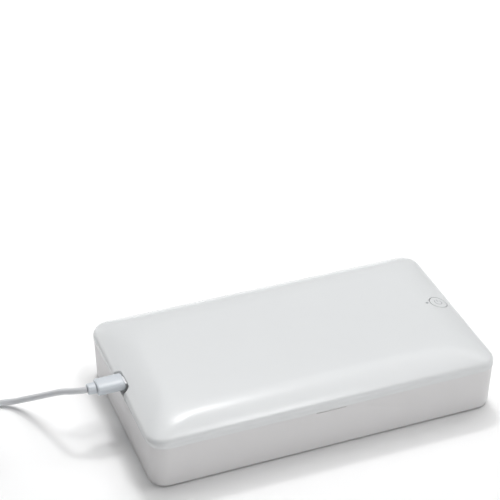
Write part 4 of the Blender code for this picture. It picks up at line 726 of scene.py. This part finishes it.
def make_liner():
    tip = LID_BASE - LIP_DEPTH
    top = LID_BASE + FLANGE_THICKNESS
    inside = lip_inset(PANEL_BOTTOM) + LIP_THICKNESS
    rings = []
    for cosine, sine in reversed(quarter(5)):
        height = PANEL_BOTTOM - PANEL_ROUND * (1 - sine)
        rings.append(tray_ring(inside + PANEL_ROUND * (1 - cosine), height))
    for cosine, sine in quarter(4):
        height = tip + LIP_ROUND * (1 - sine)
        rings.append(tray_ring(lip_inset(height) + LIP_THICKNESS - LIP_ROUND * (1 - cosine), height))
    for cosine, sine in reversed(quarter(4)):
        height = tip + LIP_ROUND * (1 - sine)
        rings.append(tray_ring(lip_inset(height) + LIP_ROUND * (1 - cosine), height))
    for inset, height in ((LIP_INSET, LID_BASE), (FLANGE_INSET, LID_BASE), (FLANGE_INSET, top),
                          (LIP_INSET + LIP_THICKNESS, top),
                          (LIP_INSET + LIP_THICKNESS + FLANGE_STEP, PANEL_TOP)):
        rings.append(tray_ring(inset, height))
    liner = loft("liner_panel", rings)
    outer, inner = LEFT_END + LIP_INSET + LIP_THICKNESS / 2, LEFT_END + PAD_END
    outline = fillet(rectangle(outer, -PAD_HALF, inner, PAD_HALF), (0.0, PAD_CORNER, PAD_CORNER, 0.0))
    pad_rings = []
    for cosine, sine in quarter(4):
        height = PAD_BOTTOM + PAD_ROUND * (1 - cosine)
        pad_rings.append([(*p, height) for p in grown(outline, PAD_ROUND * (sine - 1))])
    pad_rings.append([(*p, PANEL_BOTTOM + PAD_SINK) for p in outline])
    carve(liner, "UNION", loft("pad", pad_rings))
    pocket = box("pocket", (LEFT_END + lip_inset(PAD_FLOOR) + LIP_THICKNESS, -PAD_ROOM_HALF, PAD_FLOOR),
                 (inner - PAST, PAD_ROOM_HALF, top + PAST))
    lip_slot = box("lip_slot", (LEFT_END, -LIP_SLOT_HALF, tip - PAST),
                   (LEFT_END + lip_inset(tip) + LIP_THICKNESS + PAST, LIP_SLOT_HALF, PAD_BOTTOM))
    clear = soft_plate("clear", notch_outline(NOTCH_WALL + SEAT_GAP), LID_BASE - SEAT_GAP, top + PAST)
    carve(liner, "DIFFERENCE", pocket, lip_slot, clear)
    posts = [drum("post_%d" % k, POST_RADIUS, POST_LOW, POST_TOP, INTERLOCK_X, k * SCREW_REACH, SCREW_SIDES)
             for k in (-1, 1)]
    carve(liner, "UNION", *posts)
    tools = [box("slot", (INTERLOCK_X - PIN_SLOT_HALF_LENGTH, -PIN_SLOT_HALF_WIDTH, SCREW_LOW),
                 (INTERLOCK_X + PIN_SLOT_HALF_LENGTH, PIN_SLOT_HALF_WIDTH, PIN_SLOT_TOP))]
    for k in (-1, 1):
        for name, radius, low, high in (("head", HEAD_RADIUS, SCREW_LOW, PAD_FLOOR),
                                        ("shank", THREAD_RADIUS, SHANK_LOW, SHANK_TOP)):
            tools.append(drum("%s_%d" % (name, k), radius, low, high, INTERLOCK_X, k * SCREW_REACH,
                              SCREW_SIDES))
    for index, x in enumerate(emitter_places()):
        rings = []
        for cosine, sine in quarter(4):
            grow = WINDOW_ROUND * (1 - sine)
            rings.append(rounded_ring(WINDOW_SIZE + 2 * grow, WINDOW_SIZE + 2 * grow, WINDOW_ROUND + grow,
                                      PANEL_BOTTOM + WINDOW_ROUND * (1 - cosine), 4))
        rings.insert(0, [(p[0], p[1], PANEL_BOTTOM - PAST) for p in rings[0]])
        rings.append(rounded_ring(WINDOW_SIZE, WINDOW_SIZE, WINDOW_ROUND, PANEL_TOP + PAST, 4))
        tools.append(loft("window_%d" % index, rings, Matrix.Translation((x, 0, 0))))
    carve(liner, "DIFFERENCE", *tools)
    smooth(liner, SMOOTH_SHELL)
    even = liner.modifiers.new("even_shading", "WEIGHTED_NORMAL")
    even.keep_sharp = True
    dress(liner, "lid", "liner_white", "lid_liner")


def make_grip_ribs():
    """Low ribs on the lip's two long sides, their ends sunk into it."""
    height = LID_BASE - RIB_DROP
    face = BODY_WIDTH / 2 - lip_inset(height)
    for side in (-1, 1):
        for index in range(5):
            start = (index - 2) * RIB_PITCH - RIB_LENGTH / 2
            rings = []
            for share in (0.0, 0.12, 0.88, 1.0):
                tall, out = (RIB_HALF, RIB_PROUD) if 0 < share < 1 else (RIB_END_HALF, -RIB_END_SINK)
                x = start + RIB_LENGTH * share
                rings.append([(x, side * (face - RIB_ROOT), height - tall),
                              (x, side * (face + out), height - tall * 0.6),
                              (x, side * (face + out), height + tall * 0.6),
                              (x, side * (face - RIB_ROOT), height + tall)])
            rib = loft("grip_rib_%d_%d" % (side + 1, index), rings)
            dress(rib, "lid", "liner_white")


make_liner()
make_grip_ribs()


# Emitters: a ceramic block with gold pads round a dark die under a low dome

BLOCK_HEIGHT, BLOCK_CORNER, BLOCK_EDGE = 0.0010, 0.0002, 0.00012
EMITTER_PAD_GAP, EMITTER_PAD_CORNER, EMITTER_PAD_EDGE = 0.00092, 0.0001, 0.00003
EMITTER_PAD_DROP, EMITTER_PAD_SINK = 0.00006, 0.0001
CHIP_SIZE, CHIP_CORNER = 0.0016, 0.0001
CHIP_STEPS = ((0.7, 0.0002), (0.92, 0.00017), (1.0, 0.0001), (1.0, -0.0001))


def make_emitters():
    size = WINDOW_SIZE / 2 - SEAT_GAP
    low = PANEL_TOP - BLOCK_HEIGHT
    for index, x in enumerate(emitter_places(), 1):
        outline = fillet(rectangle(x - size, -size, x + size, size), BLOCK_CORNER, 4)
        block = soft_plate("emitter_%d" % index, outline, low, PANEL_TOP, BLOCK_EDGE)
        smooth(block)
        dress(block, "lid", "ceramic", "uv_emitter_%d" % index)
        for side in (-1, 1):
            near, far = side * EMITTER_PAD_GAP, side * (size - BLOCK_EDGE)
            half = size - BLOCK_CORNER
            plan = rectangle(x + min(near, far), -half, x + max(near, far), half)
            pad = soft_plate("emitter_pad_%d_%s" % (index, "left" if side < 0 else "right"),
                             fillet(plan, EMITTER_PAD_CORNER, 3), low - EMITTER_PAD_DROP,
                             low + EMITTER_PAD_SINK, EMITTER_PAD_EDGE)
            dress(pad, "lid", "ceramic", paint="gold")
        rings = [rounded_ring(CHIP_SIZE * grow, CHIP_SIZE * grow, CHIP_CORNER, low - drop, 4)
                 for grow, drop in CHIP_STEPS]
        die = loft("emitter_chip_%d" % index, rings, Matrix.Translation((x, 0, 0)))
        smooth(die)
        dress(die, "lid", "ceramic", paint="die")


make_emitters()


# Button: its top follows the lid's crown, with the usual sign for power on it

BUTTON_FLANGE, BUTTON_FLANGE_THICKNESS, BUTTON_BORE, CAP_EDGE = 0.0007, 0.0008, 0.0040, 0.00025
CAP_RADII = (0.0044, 0.0036, 0.0028, 0.0020, 0.0012, 0.0005)
MARK_WIDTH, MARK_HEIGHT, MARK_SINK = 0.00038, 0.00003, -0.00005
MARK_RADIUS, MARK_BAR_START, MARK_BAR_LENGTH = 0.0021, 0.0003, 0.0024


def button_ring(radius, height):
    return ring_at(BUTTON_X, BUTTON_Y, radius, height, 72)


def make_button():
    ceiling = LID_BASE + BUTTON_CEILING - SEAT_GAP
    rings = [button_ring(BUTTON_BORE, ceiling - BUTTON_FLANGE_THICKNESS),
             button_ring(BUTTON_RADIUS + BUTTON_FLANGE, ceiling - BUTTON_FLANGE_THICKNESS),
             button_ring(BUTTON_RADIUS + BUTTON_FLANGE, ceiling),
             button_ring(BUTTON_RADIUS, ceiling)]
    for cosine, sine in quarter(5):
        rings.append([(x, y, lid_height(x) - CAP_EDGE * (1 - sine))
                      for x, y, _ in button_ring(BUTTON_RADIUS - CAP_EDGE * (1 - cosine), 0)])
    for radius in CAP_RADII:
        rings.append([(x, y, lid_height(x)) for x, y, _ in button_ring(radius, 0)])
    cap = loft("button_cap", rings)
    smooth(cap, SMOOTH_SHELL)
    dress(cap, "power_button", "shell_white", "power_button")


def mark(name, centreline):
    """A printed line that lies on the lid's crown."""
    section = ((1, MARK_SINK), (1, MARK_HEIGHT * 0.6), (0.6, MARK_HEIGHT), (-0.6, MARK_HEIGHT),
               (-1, MARK_HEIGHT * 0.6), (-1, MARK_SINK))
    rings = []
    for index, point in enumerate(centreline):
        before, after = centreline[max(index - 1, 0)], centreline[min(index + 1, len(centreline) - 1)]
        way = (Vector(after) - Vector(before)).normalized()
        side = Vector((way.y, -way.x)) * MARK_WIDTH / 2
        ring = []
        for way_out, lift in section:
            place = Vector(point) + side * way_out
            ring.append((place.x, place.y, lid_height(place.x) + lift))
        rings.append(ring)
    dress(loft(name, rings), "power_button", "shell_white", paint="mark_grey")


def arc(radius, start, end):
    steps = 40
    angles = [math.radians(start + (end - start) * k / steps) for k in range(steps + 1)]
    return [(BUTTON_X + radius * math.cos(angle), BUTTON_Y + radius * math.sin(angle)) for angle in angles]


make_button()
mark("mark_arc", arc(MARK_RADIUS, 130.0, 410.0))
mark("mark_bar", [(BUTTON_X, BUTTON_Y + MARK_BAR_START + MARK_BAR_LENGTH * k / 8) for k in range(9)])


# Plug in the socket: overmoulded body and its collar

PLUG_HALF_WIDTH, PLUG_HALF_HEIGHT, PLUG_POWER = 0.0055, 0.0031, 2.9
PLUG_LENGTH, PLUG_EDGE = 0.0153, 0.0011
COLLAR_HALF_WIDTH, COLLAR_HALF_HEIGHT, COLLAR_POWER = 0.0033, 0.0027, 2.6
COLLAR_LENGTH, COLLAR_EDGE = 0.0044, 0.0007
COLLAR_TAPER_WIDTH, COLLAR_TAPER_HEIGHT = 0.0002, 0.0001


def superellipse(half_width, half_height, power, height):
    sides = 48
    points = []
    for k in range(sides):
        angle = 2 * math.pi * k / sides
        c, s = math.cos(angle), math.sin(angle)
        points.append((half_width * math.copysign(abs(c) ** (2 / power), c),
                       half_height * math.copysign(abs(s) ** (2 / power), s), height))
    return points


def pill(name, half_width, half_height, power, length, edge, place, waist=0.0):
    """A soft block along its frame's Z, with rounded end edges."""
    steps = 12
    rings = []
    for cosine, sine in quarter(6):
        inset = edge * (1 - sine)
        rings.append(superellipse(half_width - inset, half_height - inset, power, edge * (1 - cosine)))
    for step in range(1, steps):
        share = step / steps
        pull = waist * math.sin(math.pi * share) ** 2
        rings.append(superellipse(half_width - pull, half_height - pull, power,
                                  edge + (length - 2 * edge) * share))
    for cosine, sine in quarter(6):
        inset = edge * (1 - cosine)
        rings.append(superellipse(half_width - inset, half_height - inset, power,
                                  length - edge * (1 - sine)))
    item = loft(name, rings, place)
    smooth(item, SMOOTH_PLUG)
    return item


def make_plug():
    body = pill("plug_overmould", PLUG_HALF_WIDTH, PLUG_HALF_HEIGHT, PLUG_POWER, PLUG_LENGTH, PLUG_EDGE,
                along((PLUG_FACE_X, 0, PORT_Z), (-1, 0, 0)))
    dress(body, "usb_plug", "plug_plastic", "usb_plug_body")
    steps = 12
    rings = [superellipse(COLLAR_HALF_WIDTH, COLLAR_HALF_HEIGHT, COLLAR_POWER, 0.0)]
    for step in range(1, steps):
        share = step / steps
        rings.append(superellipse(COLLAR_HALF_WIDTH - COLLAR_TAPER_WIDTH * share,
                                  COLLAR_HALF_HEIGHT - COLLAR_TAPER_HEIGHT * share, COLLAR_POWER,
                                  (COLLAR_LENGTH - COLLAR_EDGE) * share))
    for cosine, sine in quarter(6):
        inset = COLLAR_EDGE * (1 - cosine)
        rings.append(superellipse(COLLAR_HALF_WIDTH - COLLAR_TAPER_WIDTH - inset,
                                  COLLAR_HALF_HEIGHT - COLLAR_TAPER_HEIGHT - inset, COLLAR_POWER,
                                  COLLAR_LENGTH - COLLAR_EDGE * (1 - sine)))
    collar = loft("plug_collar", rings, along((COLLAR_END_X + COLLAR_LENGTH, 0, PORT_Z), (-1, 0, 0)))
    smooth(collar, SMOOTH_PLUG)
    dress(collar, "usb_plug", "plug_plastic", "usb_plug_collar")


make_plug()


# Supply plug: body, ribbed relief, and the shell with its two latch holes on each face

SUPPLY_X, TAIL_END_Y = path[-1].x, path[-1].y
RELIEF_LENGTH, RELIEF_START_RADIUS, RELIEF_SWELL, RELIEF_GROOVE = 0.008, 0.0023, 0.0007, 0.00028
RELIEF_GROOVES, RELIEF_STEPS = 5, 40
SUPPLY_HALF_WIDTH, SUPPLY_HALF_HEIGHT, SUPPLY_POWER = 0.0075, 0.0040, 5.0
SUPPLY_LENGTH, SUPPLY_EDGE, SUPPLY_WAIST = 0.023, 0.0009, 0.0004
SHELL_HALF_WIDTH, SHELL_HALF_HEIGHT, SHELL_LENGTH = 0.006, 0.00225, 0.0118
SHELL_CORNER, SHELL_WALL, SHELL_BACK = 0.0004, 0.0003, 0.0008
LATCH_X, LATCH_HALF, LATCH_SIDE = 0.0026, 0.00125, 0.0022
LATCH_START, LATCH_END, LATCH_CUT = 0.0052, 0.0077, 0.0006


def supply_frame(y):
    return along((SUPPLY_X, y, SUPPLY_Z), (0, -1, 0))


def make_supply_plug():
    entry_y = TAIL_END_Y - SEAT_GAP
    rings = []
    for step in range(RELIEF_STEPS + 1):
        share = step / RELIEF_STEPS
        groove = 0.0
        if 0.04 < share < 0.98:
            groove = RELIEF_GROOVE * (0.5 - 0.5 * math.cos(2 * math.pi * RELIEF_GROOVES * share))
        radius = RELIEF_START_RADIUS + RELIEF_SWELL * share - groove
        rings.append(ring_at(0, 0, radius, RELIEF_LENGTH * share, 36))
    relief = loft("supply_relief", rings, supply_frame(entry_y))
    smooth(relief, SMOOTH_PLUG)
    dress(relief, "base", "plug_plastic", "supply_plug_relief")
    body_y = entry_y - RELIEF_LENGTH - SEAT_GAP
    body = pill("supply_body", SUPPLY_HALF_WIDTH, SUPPLY_HALF_HEIGHT, SUPPLY_POWER, SUPPLY_LENGTH,
                SUPPLY_EDGE, supply_frame(body_y), SUPPLY_WAIST)
    dress(body, "base", "plug_plastic", "supply_plug_body")
    place = supply_frame(body_y - SUPPLY_LENGTH - SEAT_GAP)
    outer = fillet(rectangle(-SHELL_HALF_WIDTH, -SHELL_HALF_HEIGHT, SHELL_HALF_WIDTH, SHELL_HALF_HEIGHT),
                   SHELL_CORNER, 4)
    shell = soft_plate("supply_shell", outer, 0.0, SHELL_LENGTH, place=place)
    inner = grown(outer, -SHELL_WALL)
    tools = [soft_plate("supply_room", inner, SHELL_BACK, SHELL_LENGTH + PAST, place=place)]
    for side in (-1, 1):
        for x in (-1, 1):
            corners = [place @ Vector((x * LATCH_X + half, side * LATCH_SIDE, depth))
                       for half in (-LATCH_HALF, LATCH_HALF) for depth in (LATCH_START, LATCH_END)]
            lowest = Vector(min(c[i] for c in corners) for i in range(3)) - Vector((0, 0, LATCH_CUT))
            highest = Vector(max(c[i] for c in corners) for i in range(3)) + Vector((0, 0, LATCH_CUT))
            tools.append(box("latch_%d_%d" % (side, x), lowest, highest))
    carve(shell, "DIFFERENCE", *tools)
    dress(shell, "base", "bright_steel", "supply_plug_shell")


make_supply_plug()


# Finishes of the solids that keep their own shape

SLOTS = {
    "board_green": ("main_board", "key_board"),
    "board_white": ("emitter_strip",),
    "bright_steel": ("usb_socket_shell", "usb_plug_nose", "tact_switch"),
    "screw_steel": ("strip_screw", "main_board_screw", "pad_screw", "key_board_screw"),
    "black_plastic": ("usb_socket_tongue", "interlock_switch", "control_chip", "tact_plunger"),
    "nylon": ("interlock_plunger", "strip_connector", "key_connector"),
    "capacitor_tan": ("capacitor",),
    "inductor_grey": ("boost_inductor",),
    "clear_plastic": ("indicator_lamp", "light_pipe"),
    "wire_red": ("strip_wire",),
    "wire_black": ("key_wire",),
    "tie_black": ("coil_tie",),
    "plug_plastic": ("supply_plug_tongue",),
}


def finish_solids():
    screws = ("main_board_screw", "key_board_screw")
    for slot_name, starts in SLOTS.items():
        for name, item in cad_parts.items():
            if item.hide_render or not name.startswith(starts):
                continue
            if name.startswith(screws) and slot_name != "screw_steel":
                continue
            if not item.material_slots:
                item.data.materials.append(None)
            for place in item.material_slots:
                place.material = BUILT[slot_name]


finish_solids()

# The lead, in a near part from the plug and the rest out to the coil and the tail, takes the jacket's
# finish and stands in for the lead's solids

for part in (lead_near, lead):
    part.data.materials.append(BUILT["lead_jacket"])
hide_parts("charge_lead")
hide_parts("charge_lead", "lead_coil", "lead_tail")
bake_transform(lead_near)
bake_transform(lead)


# Floor, light and air


def make_floor():
    reach, thickness = 3, 0.02
    floor = box("floor", (-reach, -reach, -thickness), (reach, reach, 0.0))
    tree, shader = blank("floor_paper", 0.85)
    place = node(tree, "ShaderNodeTexCoord")
    fibre = node(tree, "ShaderNodeTexNoise", Scale=900.0, Detail=3.0)
    relief = node(tree, "ShaderNodeBump", Strength=0.2, Distance=0.00002)
    tree.links.new(place.outputs["Object"], fibre.inputs["Vector"])
    tree.links.new(fibre.outputs["Fac"], relief.inputs["Height"])
    tree.links.new(relief.outputs["Normal"], shader.inputs["Normal"])
    shader.inputs["Base Color"].default_value = (0.92, 0.92, 0.92, 1)
    shader.inputs["Specular IOR Level"].default_value = 0.1
    floor.data.materials.append(BUILT["floor_paper"])


def light(name, azimuth, elevation, distance, width, height, watts):
    """A soft box at a bearing from the object, turned towards it. Bearing 0 is the front, 90 the right."""
    a, e = math.radians(azimuth), math.radians(elevation)
    way = Vector((math.sin(a) * math.cos(e), -math.cos(a) * math.cos(e), math.sin(e)))
    data = bpy.data.lights.new(name, "AREA")
    data.shape = "RECTANGLE"
    data.size, data.size_y = width, height
    data.energy = watts
    turn = way.to_track_quat("Z", "Y").to_matrix().to_4x4()
    link(name, data).matrix_world = Matrix.Translation(way * distance) @ turn


def make_light():
    world = bpy.data.worlds.new("air")
    bpy.context.scene.world = world
    world.use_nodes = True
    sky = world.node_tree.nodes["Background"]
    sky.inputs["Color"].default_value = (0.98, 0.99, 1.0, 1)
    sky.inputs["Strength"].default_value = 0.1
    light("back", 163.0, 62.5, 1.6, 0.26, 0.15, 6.0)
    light("overhead", 62.0, 74.0, 1.5, 0.20, 0.16, 2.4)
    light("top", 140.0, 68.0, 1.5, 1.4, 1.4, 18.5)
    light("front", 6.0, 11.0, 1.8, 1.3, 0.6, 11.5)
    light("left", -142.0, 13.0, 2.0, 2.2, 1.3, 16.0)
    bpy.context.scene.view_settings.view_transform = "Standard"


make_floor()
make_light()
